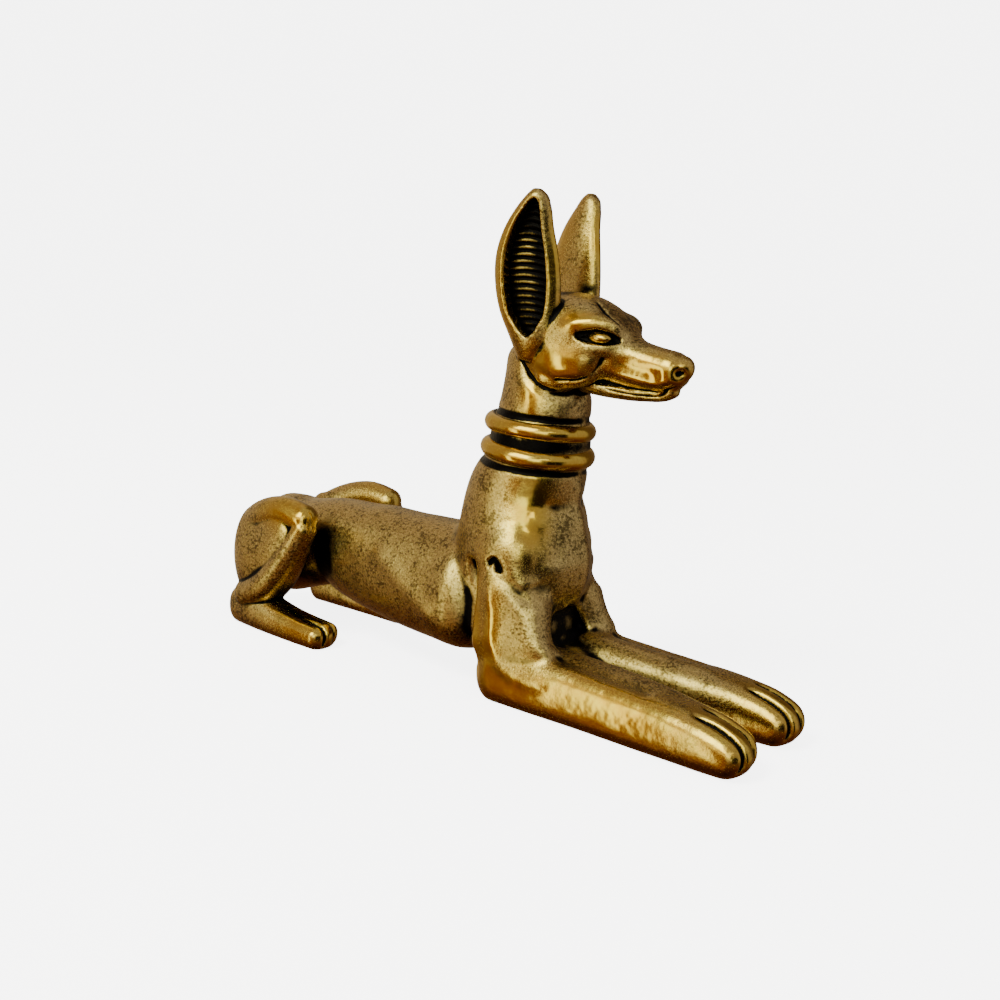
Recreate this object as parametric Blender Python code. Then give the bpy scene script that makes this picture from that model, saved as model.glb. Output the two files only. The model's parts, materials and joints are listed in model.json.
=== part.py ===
"""A recumbent jackal with tall ears and a two-ring collar, a solid brass casting.

Metres, +X towards the forepaws, +Y towards the animal's left, +Z up.
The origin is on the ground, at the middle of the length and of the width.
"""

import bmesh
import bpy
import numpy as np

# Driving dimensions, in millimetres. Along the length, 0 is at the back of the elbows.
MM = 0.001
NOSE_X = 17.1
PAW_TIP_X = 30.4
RUMP_X = -38.4
FORE_TOE_ROOT_X = 23.0
HIND_TOE_ROOT_X = -25.0
HIND_TOE_TIP_X = -20.9
HIND_STANCE = 7.2
TAIL_BACK_X = -40.5
MIDDLE_X = (PAW_TIP_X + TAIL_BACK_X) / 2
EAR_TIP_Z = 52.1
HALF_STANCE = 5.5

# Resolution of the sections and of the surface.
AROUND = 28
ALONG = 34
VOXEL = 0.3
TRIANGLES = 9000

# Each section: x, y, z of its middle, half width, reach above, reach below, squareness.
# On an upright form "above" is towards the front and "below" towards the back.
TRUNK = (
    (RUMP_X, 0, 8.0, 3.6, 4.6, 5.0, 2.0),
    (-35.5, 0, 8.2, 5.2, 6.1, 5.6, 2.0),
    (-31.0, 0, 9.6, 5.0, 5.6, 5.6, 2.1),
    (-26.5, 0, 12.0, 4.4, 3.5, 7.2, 2.1),
    (-21.0, 0, 11.0, 4.9, 5.1, 7.3, 2.2),
    (-15.0, 0, 9.4, 5.8, 6.8, 6.4, 2.2),
    (-9.0, 0, 8.4, 6.6, 7.9, 5.6, 2.2),
    (-5.0, 0, 8.2, 7.1, 8.2, 5.4, 2.2),
    (-2.2, 0, 8.4, 6.4, 7.4, 5.0, 2.1),
    (-0.6, 0, 8.6, 4.4, 5.8, 4.0, 2.0),
)
CHEST = (
    (0.2, 0, 4.5, 5.0, 3.2, 4.0, 2.0),
    (0.2, 0, 7.6, 5.6, 4.4, 5.4, 2.0),
    (0.1, 0, 10.6, 6.2, 6.6, 6.4, 2.0),
    (-0.2, 0, 13.6, 6.9, 7.5, 7.2, 2.0),
    (-0.6, 0, 17.2, 6.8, 7.0, 7.2, 2.0),
    (-0.8, 0, 21.0, 6.0, 6.2, 6.2, 2.0),
    (0.1, 0, 24.6, 5.3, 5.3, 5.3, 2.0),
    (0.4, 0, 28.0, 4.6, 4.8, 4.9, 2.0),
    (0.7, 0, 31.0, 4.3, 4.7, 4.8, 2.0),
    (1.4, 0, 34.5, 4.2, 4.6, 5.2, 2.0),
    (2.0, 0, 38.0, 3.8, 4.0, 5.2, 2.0),
)
SKULL = (
    (-2.6, 0, 37.8, 2.4, 2.4, 2.8, 2.0),
    (-0.8, 0, 38.2, 3.9, 3.5, 3.8, 2.0),
    (2.4, 0, 38.2, 4.6, 4.2, 4.0, 2.0),
    (5.6, 0, 38.2, 4.5, 4.0, 3.8, 2.1),
    (8.2, 0, 37.4, 3.7, 3.5, 3.2, 2.1),
    (10.4, 0, 36.7, 2.6, 2.3, 2.6, 2.2),
    (13.4, 0, 36.2, 2.1, 2.0, 2.1, 2.3),
    (16.0, 0, 35.9, 1.9, 1.9, 1.6, 2.3),
    (NOSE_X, 0, 35.9, 1.6, 1.7, 1.2, 2.2),
)
JAW = (
    (4.0, 0, 34.4, 3.0, 1.2, 1.5, 2.0),
    (8.5, 0, 34.0, 1.9, 0.7, 1.1, 2.0),
    (12.5, 0, 33.9, 1.4, 0.6, 0.9, 2.0),
    (15.3, 0, 34.0, 1.1, 0.6, 0.8, 2.0),
)
UPPER_ARM = (
    (2.0, 4.8, 2.6, 2.9, 3.4, 3.6, 2.5),
    (1.6, 4.8, 6.5, 2.9, 4.2, 3.7, 2.4),
    (1.3, 4.8, 10.5, 2.9, 4.4, 3.7, 2.3),
    (1.0, 4.6, 14.2, 3.0, 4.0, 3.5, 2.2),
    (0.6, 4.0, 17.4, 2.4, 2.6, 2.8, 2.0),
)
FOREARM = (
    (-1.5, 4.9, 3.1, 2.7, 3.4, 3.5, 2.7),
    (5.0, 4.4, 3.0, 3.3, 2.8, 3.4, 2.8),
    (12.0, 4.3, 2.9, 3.3, 2.8, 3.3, 2.7),
    (19.0, 4.7, 2.7, 3.1, 2.6, 3.1, 2.6),
    (24.0, 5.2, 2.5, 2.8, 2.4, 2.9, 2.5),
    (27.5, HALF_STANCE, 2.3, 2.7, 2.2, 2.7, 2.4),
    (PAW_TIP_X, HALF_STANCE, 1.9, 2.6, 1.8, 2.3, 2.3),
)
WEB = (
    (1.0, 0, 3.0, 3.4, 2.4, 2.6, 2.2),
    (6.0, 0, 2.8, 3.2, 2.6, 2.4, 2.2),
    (11.0, 0, 1.8, 2.6, 1.6, 1.8, 2.2),
)
THIGH = (
    (-37.2, 4.6, 7.4, 2.2, 4.0, 5.0, 2.0),
    (-34.5, 5.8, 8.0, 3.0, 5.8, 6.2, 2.0),
    (-31.0, 6.6, 9.4, 2.8, 5.4, 5.2, 2.0),
    (-28.0, 7.2, 11.6, 2.2, 4.0, 3.6, 2.0),
    (-25.6, 7.3, 13.4, 1.6, 2.4, 2.6, 2.0),
)
KNEE = (
    (-37.0, 4.4, 9.0, 1.8, 1.8, 1.8, 2.0),
    (-33.6, 6.4, 12.8, 1.8, 1.8, 2.4, 2.0),
    (-29.0, 7.2, 14.6, 1.7, 1.7, 2.4, 2.0),
    (-24.2, 7.3, 13.9, 1.6, 1.8, 2.2, 2.0),
)
SHIN = (
    (-24.9, 7.4, 14.4, 1.5, 1.2, 1.4, 2.0),
    (-27.2, 7.8, 10.2, 1.8, 1.4, 1.8, 2.0),
    (-30.5, 8.0, 6.0, 1.9, 1.6, 2.0, 2.0),
    (-35.0, 7.4, 3.2, 1.9, 1.8, 2.0, 2.0),
)
HIND_FOOT = (
    (-37.0, 6.6, 2.4, 1.9, 2.2, 2.7, 2.3),
    (-32.0, 7.0, 2.1, 2.3, 2.1, 2.4, 2.3),
    (-27.0, HIND_STANCE, 1.7, 2.2, 1.6, 2.1, 2.3),
    (HIND_TOE_TIP_X, HIND_STANCE, 1.4, 2.2, 1.3, 1.8, 2.3),
)
TAIL = (
    (-36.0, 0, 11.5, 1.9, 1.9, 1.9, 2.0),
    (TAIL_BACK_X + 2.1, 0, 8.6, 1.7, 1.7, 1.7, 2.0),
    (TAIL_BACK_X + 1.6, 0, 4.6, 1.6, 1.6, 1.6, 2.0),
    (TAIL_BACK_X + 1.9, 0, 0.9, 1.4, 1.4, 1.4, 2.0),
)

# Ears: height, front edge x and y, rear edge x and y, half thickness.
EAR = (
    (35.4, 2.4, -3.0, -0.6, -3.4, 1.3),
    (37.4, 3.4, -3.4, -1.2, -4.0, 1.5),
    (40.0, 3.7, -3.5, -2.1, -4.7, 1.5),
    (43.0, 3.5, -3.5, -2.6, -5.2, 1.45),
    (46.0, 3.0, -3.7, -2.5, -5.4, 1.35),
    (48.8, 2.4, -4.1, -1.5, -5.4, 1.2),
    (50.8, 2.2, -4.4, -0.3, -5.3, 1.0),
    (51.7, 1.9, -4.6, 0.4, -5.1, 0.8),
    (EAR_TIP_Z, 1.4, -4.8, 0.9, -5.0, 0.4),
)
EAR_HOLLOW_LOW = 37.2
EAR_HOLLOW_HIGH = 51.3
EAR_HOLLOW_DEPTH = 1.7
EAR_RIM = 0.2

# Grooves between the toes: y of each from the middle of the paw.
TOE_GROOVES = (-0.95, 0.9)
TOE_GROOVE_WIDTH = 0.32
TOE_GROOVE_DEPTH = 0.6
PAW_REACH = 9.0

# Collar: two rings round the neck. Each: x, z of the middle, reach along x, reach along y, tube.
RINGS = (
    (0.35, 28.0, 5.75, 5.3, 1.05),
    (0.25, 25.3, 5.98, 5.6, 1.1),
)
RING_TILT = 0.035

# Round forms: x, y, z of the middle, then the three half sizes. A y other than 0 is on both sides.
CHEEK = (4.2, 2.7, 35.9, 3.8, 2.0, 2.7)
BROW = (7.4, 2.4, 39.9, 2.0, 1.3, 1.2)
EYE = (8.1, 3.05, 38.4, 1.0, 0.6, 0.65)
SHOULDER = (0.6, 4.6, 15.2, 4.2, 2.9, 4.4)
BREAST = (3.6, 0.0, 14.0, 3.6, 3.4, 4.4)
NOSE = (16.3, 0.0, 36.3, 1.2, 1.3, 1.3)

# Creases on each side, given as lines of x, y, z, each with its width and depth: behind the arm,
# at the shoulder, under the jaw, the eye's hollow and the hollow between the arms.
CREASES = (
    (((-2.2, 6.6, 14.6), (-2.1, 7.2, 11.0), (-1.8, 7.2, 7.0), (-1.4, 6.8, 3.4)), 0.6, 1.5),
    (((0.6, 7.4, 15.2), (1.4, 7.6, 14.2), (3.6, 7.2, 12.6)), 0.45, 0.6),
    (
        (
            (0.5, 3.8, 34.8),
            (2.1, 3.8, 33.2),
            (4.2, 3.6, 32.5),
            (6.6, 2.6, 32.7),
            (8.4, 0.0, 32.9),
        ),
        0.6,
        0.7,
    ),
    (((6.2, 4.0, 38.2), (8.0, 3.9, 38.5), (9.7, 2.9, 38.2)), 0.55, 0.7),
    (((6.4, 0.0, 9.8), (6.0, 0.0, 6.4)), 1.5, 0.9),
)
MOUTH = ((16.6, 1.3, 34.7), (14.5, 1.8, 33.9), (11.9, 2.1, 34.0), (9.4, 2.9, 34.3))
MOUTH_WIDTH = 0.3
MOUTH_DEPTH = 0.35


def eased(rows, count):
    """A smooth curve through the rows, with as many points as count, packed near both ends."""
    rows = np.array(rows, float)
    gaps = np.linalg.norm(np.diff(rows[:, :3], axis=0), axis=1)
    knots = np.concatenate([[0], np.cumsum(gaps)])
    gaps = gaps[:, None]
    slopes = np.diff(rows, axis=0) / gaps
    tangents = np.empty_like(rows)
    tangents[1:-1] = (slopes[:-1] * gaps[1:] + slopes[1:] * gaps[:-1]) / (gaps[:-1] + gaps[1:])
    tangents[0] = slopes[0]
    tangents[-1] = slopes[-1]
    places = knots[-1] * (1 - np.cos(np.linspace(0, np.pi, count))) / 2
    span = np.clip(np.searchsorted(knots, places, side="right") - 1, 0, len(gaps) - 1)
    gap = gaps[span]
    part = (places[:, None] - knots[span, None]) / gap
    curve = (2 * part**3 - 3 * part**2 + 1) * rows[span]
    curve += (part**3 - 2 * part**2 + part) * gap * tangents[span]
    curve += (3 * part**2 - 2 * part**3) * rows[span + 1]
    curve += (part**3 - part**2) * gap * tangents[span + 1]
    return curve, places, knots[-1]


def powered(values, power):
    """The values raised to 2 over the power, keeping their signs: squarer sections above 2."""
    return np.sign(values) * np.abs(values) ** (2 / power)


def tube(bm, rings):
    """Adds a closed skin over rings of points, each end brought to one point."""
    loops = [[bm.verts.new(point) for point in ring] for ring in rings]
    for first, second in zip(loops[:-1], loops[1:]):
        for i in range(len(first)):
            j = (i + 1) % len(first)
            bm.faces.new((first[i], second[i], second[j], first[j]))
    for loop, ring in ((loops[0], rings[0]), (loops[-1], rings[-1])):
        tip = bm.verts.new(np.mean(ring, axis=0))
        for i in range(len(loop)):
            bm.faces.new((loop[i], loop[(i + 1) % len(loop)], tip))


def form(bm, rows, upright=False, side=1.0, round_off=0.8):
    """Adds a form carried along its rows of sections, rounded off within a cap at both ends."""
    curve, places, total = eased(rows, ALONG)
    middle = curve[:, :3] * (1, side, 1)
    along = np.gradient(middle, axis=0)
    along /= np.linalg.norm(along, axis=1)[:, None]
    guide = np.array((1.0, 0, 0) if upright else (0, 0, 1.0))
    across = np.cross(along, guide)
    across /= np.linalg.norm(across, axis=1)[:, None]
    up = np.cross(across, along)
    cap = round_off * (curve[:, 3] + curve[:, 4] + curve[:, 5]) / 3
    from_end = np.minimum(places, total - places) / cap
    shrink = np.sqrt(np.clip(1 - (1 - np.clip(from_end, 0, 1)) ** 2, 0.0004, 1))
    angle = np.linspace(0, 2 * np.pi, AROUND, endpoint=False)
    wide = powered(np.cos(angle)[None], curve[:, 6:7]) * (curve[:, 3] * shrink)[:, None]
    reach = np.where(np.sin(angle)[None] > 0, curve[:, 4:5], curve[:, 5:6]) * shrink[:, None]
    high = powered(np.sin(angle)[None], curve[:, 6:7]) * reach
    rings = middle[:, None] + across[:, None] * wide[..., None] + up[:, None] * high[..., None]
    tube(bm, rings * MM)


def ball(bm, shape, side=1.0):
    """Adds an ellipsoid given by its middle and half sizes."""
    x, y, z, long, wide, high = shape
    made = bmesh.ops.create_uvsphere(bm, u_segments=24, v_segments=16, radius=MM)
    for vert in made["verts"]:
        vert.co.x = vert.co.x * long + x * MM
        vert.co.y = vert.co.y * wide + y * side * MM
        vert.co.z = vert.co.z * high + z * MM


def ring(bm, shape):
    """Adds one collar ring: a round tube carried round an oval, tipped a little forwards."""
    x, z, long, wide, radius = shape
    angle = np.linspace(0, 2 * np.pi, 64, endpoint=False)
    roll = np.linspace(0, 2 * np.pi, 14, endpoint=False)
    out = np.cos(roll)[None] * radius
    points = np.empty((len(angle), len(roll), 3))
    points[..., 0] = x + np.cos(angle)[:, None] * (long - radius + out)
    points[..., 1] = np.sin(angle)[:, None] * (wide - radius + out)
    points[..., 2] = z + np.sin(roll)[None] * radius - RING_TILT * (points[..., 0] - x)
    loops = [[bm.verts.new(point * MM) for point in loop] for loop in points]
    for i, first in enumerate(loops):
        second = loops[(i + 1) % len(loops)]
        for j in range(len(first)):
            k = (j + 1) % len(first)
            bm.faces.new((first[j], first[k], second[k], second[j]))


def ear(bm, side):
    """Adds one ear: a leaf with a hollow in its outer face.

    Across the leaf, s runs from -1 at the rear edge to 1 at the front edge. Both faces bulge by
    the half thickness times the root of 1 - s squared, and the outer face sinks by the hollow's
    depth inside the rim.
    """
    rows = np.array(EAR)
    height = rows[0, 0] + (rows[-1, 0] - rows[0, 0]) * np.sin(np.linspace(0, np.pi / 2, 40))
    front = np.stack([np.interp(height, rows[:, 0], rows[:, k]) for k in (1, 2)], -1)
    rear = np.stack([np.interp(height, rows[:, 0], rows[:, k]) for k in (3, 4)], -1)
    thick = np.interp(height, rows[:, 0], rows[:, 5])
    middle = (front + rear) / 2
    half = (front - rear) / 2
    width = np.linalg.norm(half, axis=1)
    outward = np.stack([half[:, 1], -half[:, 0]], -1) / width[:, None]
    angle = np.linspace(0, 2 * np.pi, 48, endpoint=False)
    across = np.cos(angle)[None]
    bulge = np.sin(angle)[None] * thick[:, None]
    part = (height - EAR_HOLLOW_LOW) / (EAR_HOLLOW_HIGH - EAR_HOLLOW_LOW)
    room = np.clip(1 - (2 * part - 1) ** 4, 0, 1)[:, None]
    inside = np.clip((1 - EAR_RIM - np.abs(across) / np.maximum(room, 0.05)) / 0.25, 0, 1)
    sunk = EAR_HOLLOW_DEPTH * inside**0.7 * np.clip(room * 2, 0, 1) * (np.sin(angle)[None] > 0)
    reach = bulge - np.minimum(sunk, np.maximum(bulge + thick[:, None] * 0.45, 0))
    points = np.empty((len(height), len(angle), 3))
    points[..., :2] = middle[:, None] + half[:, None] * across[..., None]
    points[..., :2] += outward[:, None] * reach[..., None]
    points[..., 2] = height[:, None]
    tube(bm, points * (1, -side, 1) * MM)


def finished_mesh(bm, name):
    """Turns a bmesh into a mesh object with its faces pointing out."""
    bmesh.ops.recalc_face_normals(bm, faces=bm.faces)
    mesh = bpy.data.meshes.new(name)
    bm.to_mesh(mesh)
    bm.free()
    made = bpy.data.objects.new(name, mesh)
    bpy.context.scene.collection.objects.link(made)
    return made


def evaluated(made, name):
    """A new object with the mesh that the modifiers of this one give, which it takes the place of."""
    graph = bpy.context.evaluated_depsgraph_get()
    mesh = bpy.data.meshes.new_from_object(made.evaluated_get(graph))
    bpy.data.objects.remove(made)
    after = bpy.data.objects.new(name, mesh)
    bpy.context.scene.collection.objects.link(after)
    return after


def remeshed(made, name, voxel):
    """Fuses overlapping forms into one skin."""
    modifier = made.modifiers.new("fuse", "REMESH")
    modifier.mode = "VOXEL"
    modifier.voxel_size = voxel * MM
    return evaluated(made, name)


def relaxed(made, rounds, amount, keep_out=0.0):
    """Evens the skin out: each point goes towards the mean of its neighbours.

    With keep_out at 1 it only moves outwards, so valleys fill and edges stay.
    """
    mesh = made.data
    points = np.empty(len(mesh.vertices) * 3)
    mesh.vertices.foreach_get("co", points)
    points = points.reshape(-1, 3)
    edges = np.empty(len(mesh.edges) * 2, np.int64)
    mesh.edges.foreach_get("vertices", edges)
    edges = edges.reshape(-1, 2)
    count = len(points)
    near = np.bincount(edges.ravel(), minlength=count)[:, None]
    for _ in range(rounds):
        total = np.empty_like(points)
        for axis in range(3):
            total[:, axis] = np.bincount(edges[:, 0], points[edges[:, 1], axis], count)
            total[:, axis] += np.bincount(edges[:, 1], points[edges[:, 0], axis], count)
        step = total / near - points
        if keep_out:
            mesh.vertices.foreach_set("co", points.ravel())
            mesh.update()
            normals = np.empty(count * 3, np.float32)
            mesh.vertex_normals.foreach_get("vector", normals)
            outwards = np.einsum("ij,ij->i", step, normals.reshape(-1, 3))
            step *= np.where(outwards > 0, 1.0, 1 - keep_out)[:, None]
        points += step * amount
    mesh.vertices.foreach_set("co", points.ravel())
    mesh.update()


def carve(made, line, width, depth):
    """Sinks a groove along a line: each point moves in by the depth, less the further it is off."""
    mesh = made.data
    points = np.empty(len(mesh.vertices) * 3)
    mesh.vertices.foreach_get("co", points)
    points = points.reshape(-1, 3)
    normals = np.empty(len(points) * 3, np.float32)
    mesh.vertex_normals.foreach_get("vector", normals)
    curve = eased(line, 40)[0] * MM
    nearest = np.full(len(points), np.inf)
    for start, end in zip(curve[:-1], curve[1:]):
        run = end - start
        part = np.clip((points - start) @ run / (run @ run), 0, 1)
        gap = np.linalg.norm(points - start - part[:, None] * run, axis=1)
        nearest = np.minimum(nearest, gap)
    sink = depth * MM * np.exp(-((nearest / (width * MM)) ** 2))
    points -= sink[:, None] * normals.reshape(-1, 3)
    mesh.vertices.foreach_set("co", points.ravel())
    mesh.update()


def part_toes(made, middle_y, back_x, offset, side):
    """Sinks one groove between toes: an upright cut that runs out towards the leg."""
    mesh = made.data
    points = np.empty(len(mesh.vertices) * 3)
    mesh.vertices.foreach_get("co", points)
    points = points.reshape(-1, 3)
    normals = np.empty(len(points) * 3, np.float32)
    mesh.vertex_normals.foreach_get("vector", normals)
    normals = normals.reshape(-1, 3)
    off = points[:, 1] - (middle_y + offset) * side * MM
    run_out = np.clip((points[:, 0] - back_x * MM) / (2 * MM), 0, 1)
    within = points[:, 0] < back_x * MM + PAW_REACH * MM
    facing = np.clip(normals[:, 0] + normals[:, 2], 0, 1)
    sink = TOE_GROOVE_DEPTH * MM * np.exp(-((off / (TOE_GROOVE_WIDTH * MM)) ** 2))
    points -= (sink * run_out * facing * within)[:, None] * normals
    mesh.vertices.foreach_set("co", points.ravel())
    mesh.update()


def body():
    """Trunk, chest, neck, skull and arms, with soft joins."""
    bm = bmesh.new()
    form(bm, TRUNK)
    form(bm, CHEST, upright=True)
    form(bm, SKULL)
    ball(bm, BREAST)
    for side in (-1, 1):
        form(bm, UPPER_ARM, upright=True, side=side)
        ball(bm, SHOULDER, side)
    made = remeshed(finished_mesh(bm, "body"), "body", VOXEL)
    relaxed(made, 24, 0.5, keep_out=1.0)
    for side in (-1, 1):
        for line, width, depth in CREASES:
            carve(made, np.array(line) * (1, side, 1), width, depth)
    return made


def add_object(bm, made):
    """Adds an object's mesh to the bmesh, and removes the object."""
    bm.from_mesh(made.data)
    bpy.data.objects.remove(made)


def stand(bm):
    """Cuts everything off below the ground and closes the cuts, which leaves flat soles."""
    everything = list(bm.verts) + list(bm.edges) + list(bm.faces)
    bmesh.ops.bisect_plane(
        bm, geom=everything, dist=1e-7, plane_co=(0, 0, 0), plane_no=(0, 0, -1), clear_outer=True
    )
    rims = [edge for edge in bm.edges if edge.is_boundary]
    soles = bmesh.ops.contextual_create(bm, geom=rims)["faces"]
    bmesh.ops.triangulate(bm, faces=soles)


def jackal():
    """The whole animal as one skin, cut flat on the ground and thinned to its triangles."""
    bm = bmesh.new()
    add_object(bm, body())
    form(bm, JAW)
    form(bm, WEB)
    form(bm, TAIL, upright=True)
    ball(bm, NOSE)
    for side in (-1, 1):
        form(bm, FOREARM, side=side, round_off=0.75)
        form(bm, THIGH, side=side)
        form(bm, KNEE, side=side)
        form(bm, SHIN, side=side)
        form(bm, HIND_FOOT, side=side)
        ball(bm, CHEEK, side)
        ball(bm, BROW, side)
        ball(bm, EYE, side)
        ear(bm, side)
    for shape in RINGS:
        ring(bm, shape)
    made = remeshed(finished_mesh(bm, "skin"), "skin", VOXEL)
    relaxed(made, 2, 0.5)
    for side in (-1, 1):
        carve(made, np.array(MOUTH) * (1, side, 1), MOUTH_WIDTH, MOUTH_DEPTH)
        for offset in TOE_GROOVES:
            part_toes(made, HALF_STANCE, FORE_TOE_ROOT_X, offset, side)
            part_toes(made, HIND_STANCE, HIND_TOE_ROOT_X, offset * 0.8, side)
    thinned = made.modifiers.new("thin", "DECIMATE")
    thinned.ratio = TRIANGLES / (2 * len(made.data.polygons))
    thinned.use_collapse_triangulate = True
    made = evaluated(made, "thinned")
    bm = bmesh.new()
    add_object(bm, made)
    bmesh.ops.translate(bm, verts=bm.verts, vec=(-MIDDLE_X * MM, 0, 0))
    stand(bm)
    made = finished_mesh(bm, "jackal_figure")
    return made


def antique_brass():
    """Cast brass with the shine left on and a dark colour in its hollows."""
    material = bpy.data.materials.new("antique_brass")
    material.use_nodes = True
    shader = material.node_tree.nodes["Principled BSDF"]
    shader.inputs["Base Color"].default_value = (0.52, 0.31, 0.075, 1)
    shader.inputs["Metallic"].default_value = 1.0
    shader.inputs["Roughness"].default_value = 0.28
    return material


for old in list(bpy.data.objects):
    bpy.data.objects.remove(old)
figure = jackal()
figure.data.materials.append(antique_brass())
figure.data.shade_smooth()
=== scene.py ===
# %% [markdown]
# # A small jackal cast in brass and antiqued
# The real piece is about 71 mm long: a lost-wax casting of a recumbent jackal, filed and
# polished on its high places and left dark in its hollows. This lesson builds its looks round
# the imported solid. All shapes are worked out in millimetres in a drawing frame whose x is 0 at
# the back of the elbows, with +X towards the forepaws, +Y the animal's left and +Z up.

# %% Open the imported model
import json

import bpy
import numpy as np
from mathutils import Matrix, Vector

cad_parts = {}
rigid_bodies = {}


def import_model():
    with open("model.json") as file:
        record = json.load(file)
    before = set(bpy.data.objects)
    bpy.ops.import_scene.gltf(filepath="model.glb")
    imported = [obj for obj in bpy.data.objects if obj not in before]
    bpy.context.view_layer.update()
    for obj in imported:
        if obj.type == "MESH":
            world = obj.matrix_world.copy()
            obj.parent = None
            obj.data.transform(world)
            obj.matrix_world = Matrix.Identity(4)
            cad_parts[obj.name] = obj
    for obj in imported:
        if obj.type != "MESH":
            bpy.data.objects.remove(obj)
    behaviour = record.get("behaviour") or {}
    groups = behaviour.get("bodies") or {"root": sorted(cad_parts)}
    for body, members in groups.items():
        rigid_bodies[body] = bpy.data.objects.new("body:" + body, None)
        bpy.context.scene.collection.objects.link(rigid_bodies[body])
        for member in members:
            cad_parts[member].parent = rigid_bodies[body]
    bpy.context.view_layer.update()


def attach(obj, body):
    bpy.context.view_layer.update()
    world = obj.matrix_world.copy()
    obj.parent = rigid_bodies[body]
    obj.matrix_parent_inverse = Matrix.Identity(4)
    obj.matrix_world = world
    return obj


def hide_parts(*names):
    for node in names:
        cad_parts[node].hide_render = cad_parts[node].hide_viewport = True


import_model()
MM = 0.001
PAW_TIP_X = 30.4
TAIL_BACK_X = -40.5
MIDDLE_X = (PAW_TIP_X + TAIL_BACK_X) / 2
SIDES = np.array([-1.0, 1.0])

# %% [markdown]
# ## Forms carried along a path
# A modeller in wax builds an animal from rolled and pressed forms: a trunk, a chest, four legs.
# Each could be pushed and pulled by hand in sculpt mode. Here each is a profile carried along a
# smooth path, because a few rows of measured sections then say the whole shape.

# %% Curves, sections and skins
AROUND = 56
ALONG = 80


def eased(rows, count, packed=True):
    """A smooth curve through the rows: between two rows a cubic whose slopes are those of the
    chords, weighted by their lengths. Packed puts more of its points near both ends."""
    rows = np.array(rows, float)
    gaps = np.linalg.norm(np.diff(rows[:, :3], axis=0), axis=1)
    knots = np.concatenate([[0], np.cumsum(gaps)])
    gaps = gaps[:, None]
    slopes = np.diff(rows, axis=0) / gaps
    tangents = np.empty_like(rows)
    tangents[1:-1] = (slopes[:-1] * gaps[1:] + slopes[1:] * gaps[:-1]) / (gaps[:-1] + gaps[1:])
    tangents[0] = slopes[0]
    tangents[-1] = slopes[-1]
    even = np.linspace(0, 1, count)
    places = knots[-1] * ((1 - np.cos(np.pi * even)) / 2 if packed else even)
    span = np.clip(np.searchsorted(knots, places, side="right") - 1, 0, len(gaps) - 1)
    gap = gaps[span]
    part = (places[:, None] - knots[span, None]) / gap
    curve = (2 * part**3 - 3 * part**2 + 1) * rows[span]
    curve += (part**3 - 2 * part**2 + part) * gap * tangents[span]
    curve += (3 * part**2 - 2 * part**3) * rows[span + 1]
    curve += (part**3 - part**2) * gap * tangents[span + 1]
    return curve, places, knots[-1]


def powered(values, power):
    """The values raised to 2 over the power, signs kept: an oval squares up above 2."""
    return np.sign(values) * np.abs(values) ** (2 / power)


def tiles(count, around):
    """The point numbers of count rings with so many points around, the same numbers one step on
    round each ring, and the quads between neighbouring rings."""
    index = np.arange(count * around).reshape(count, around)
    onward = np.roll(index, -1, axis=1)
    quads = np.stack([index[:-1], index[1:], onward[1:], onward[:-1]], -1).reshape(-1, 4)
    return index, onward, quads


def skin(rings):
    """A closed skin over rings of points: quads between neighbouring rings, and at both ends a
    fan of triangles to the middle of the ring."""
    count, around = rings.shape[:2]
    index, onward, quads = tiles(count, around)
    low = np.stack([index[0], onward[0], np.full(around, count * around)], -1)
    high = np.stack([onward[-1], index[-1], np.full(around, count * around + 1)], -1)
    points = np.concatenate([rings.reshape(-1, 3), rings[[0, -1]].mean(axis=1)])
    return points, quads, np.concatenate([low, high])


def form(rows, upright=False, side=1.0, round_off=0.8):
    """A form carried along its rows of x, y, z, half width, reach above, reach below and
    squareness. At angle a the section is at half width times cos a across and reach times sin a
    up, both powered, and both ends are rounded off by a quarter circle."""
    curve, places, total = eased(rows, ALONG)
    middle = curve[:, :3] * (1, side, 1)
    along = np.gradient(middle, axis=0)
    along /= np.linalg.norm(along, axis=1)[:, None]
    across = np.cross(along, (1.0, 0, 0) if upright else (0, 0, 1.0))
    across /= np.linalg.norm(across, axis=1)[:, None]
    up = np.cross(across, along)
    cap = round_off * (curve[:, 3] + curve[:, 4] + curve[:, 5]) / 3
    from_end = np.minimum(places, total - places) / cap
    shrink = np.sqrt(np.clip(1 - (1 - np.clip(from_end, 0, 1)) ** 2, 0.0004, 1))
    angle = np.linspace(0, 2 * np.pi, AROUND, endpoint=False)
    wide = powered(np.cos(angle)[None], curve[:, 6:7]) * (curve[:, 3] * shrink)[:, None]
    reach = np.where(np.sin(angle)[None] > 0, curve[:, 4:5], curve[:, 5:6]) * shrink[:, None]
    high = powered(np.sin(angle)[None], curve[:, 6:7]) * reach
    return skin(middle[:, None] + across[:, None] * wide[..., None] + up[:, None] * high[..., None])


def ball(shape, side=1.0):
    """An ellipsoid: at latitude b and longitude a, the middle plus the half sizes times
    cos b cos a, cos b sin a and sin b."""
    x, y, z, long, wide, high = shape
    b = np.linspace(-np.pi / 2 + 0.05, np.pi / 2 - 0.05, 32)[:, None]
    a = np.linspace(0, 2 * np.pi, 48, endpoint=False)[None]
    unit = np.stack([np.cos(b) * np.cos(a), np.cos(b) * np.sin(a), np.sin(b) + 0 * a], -1)
    return skin(unit * (long, wide, high) + (x, y * side, z))


def both(make, *shape, **more):
    """The same shape on the animal's right and left."""
    return [make(*shape, side=side, **more) for side in SIDES]


print("a section has", AROUND, "points, and a form", ALONG, "sections")

# %% [markdown]
# ## Melting forms into one skin
# In wax the forms are pressed together and the joins are smoothed with a warm tool. Blender's
# Remesh modifier does the pressing: it fills the joined forms with small cubes and skins them.
# The warm tool is a smoothing that may only add wax, so joins fill up and the forms keep their
# size.

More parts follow.
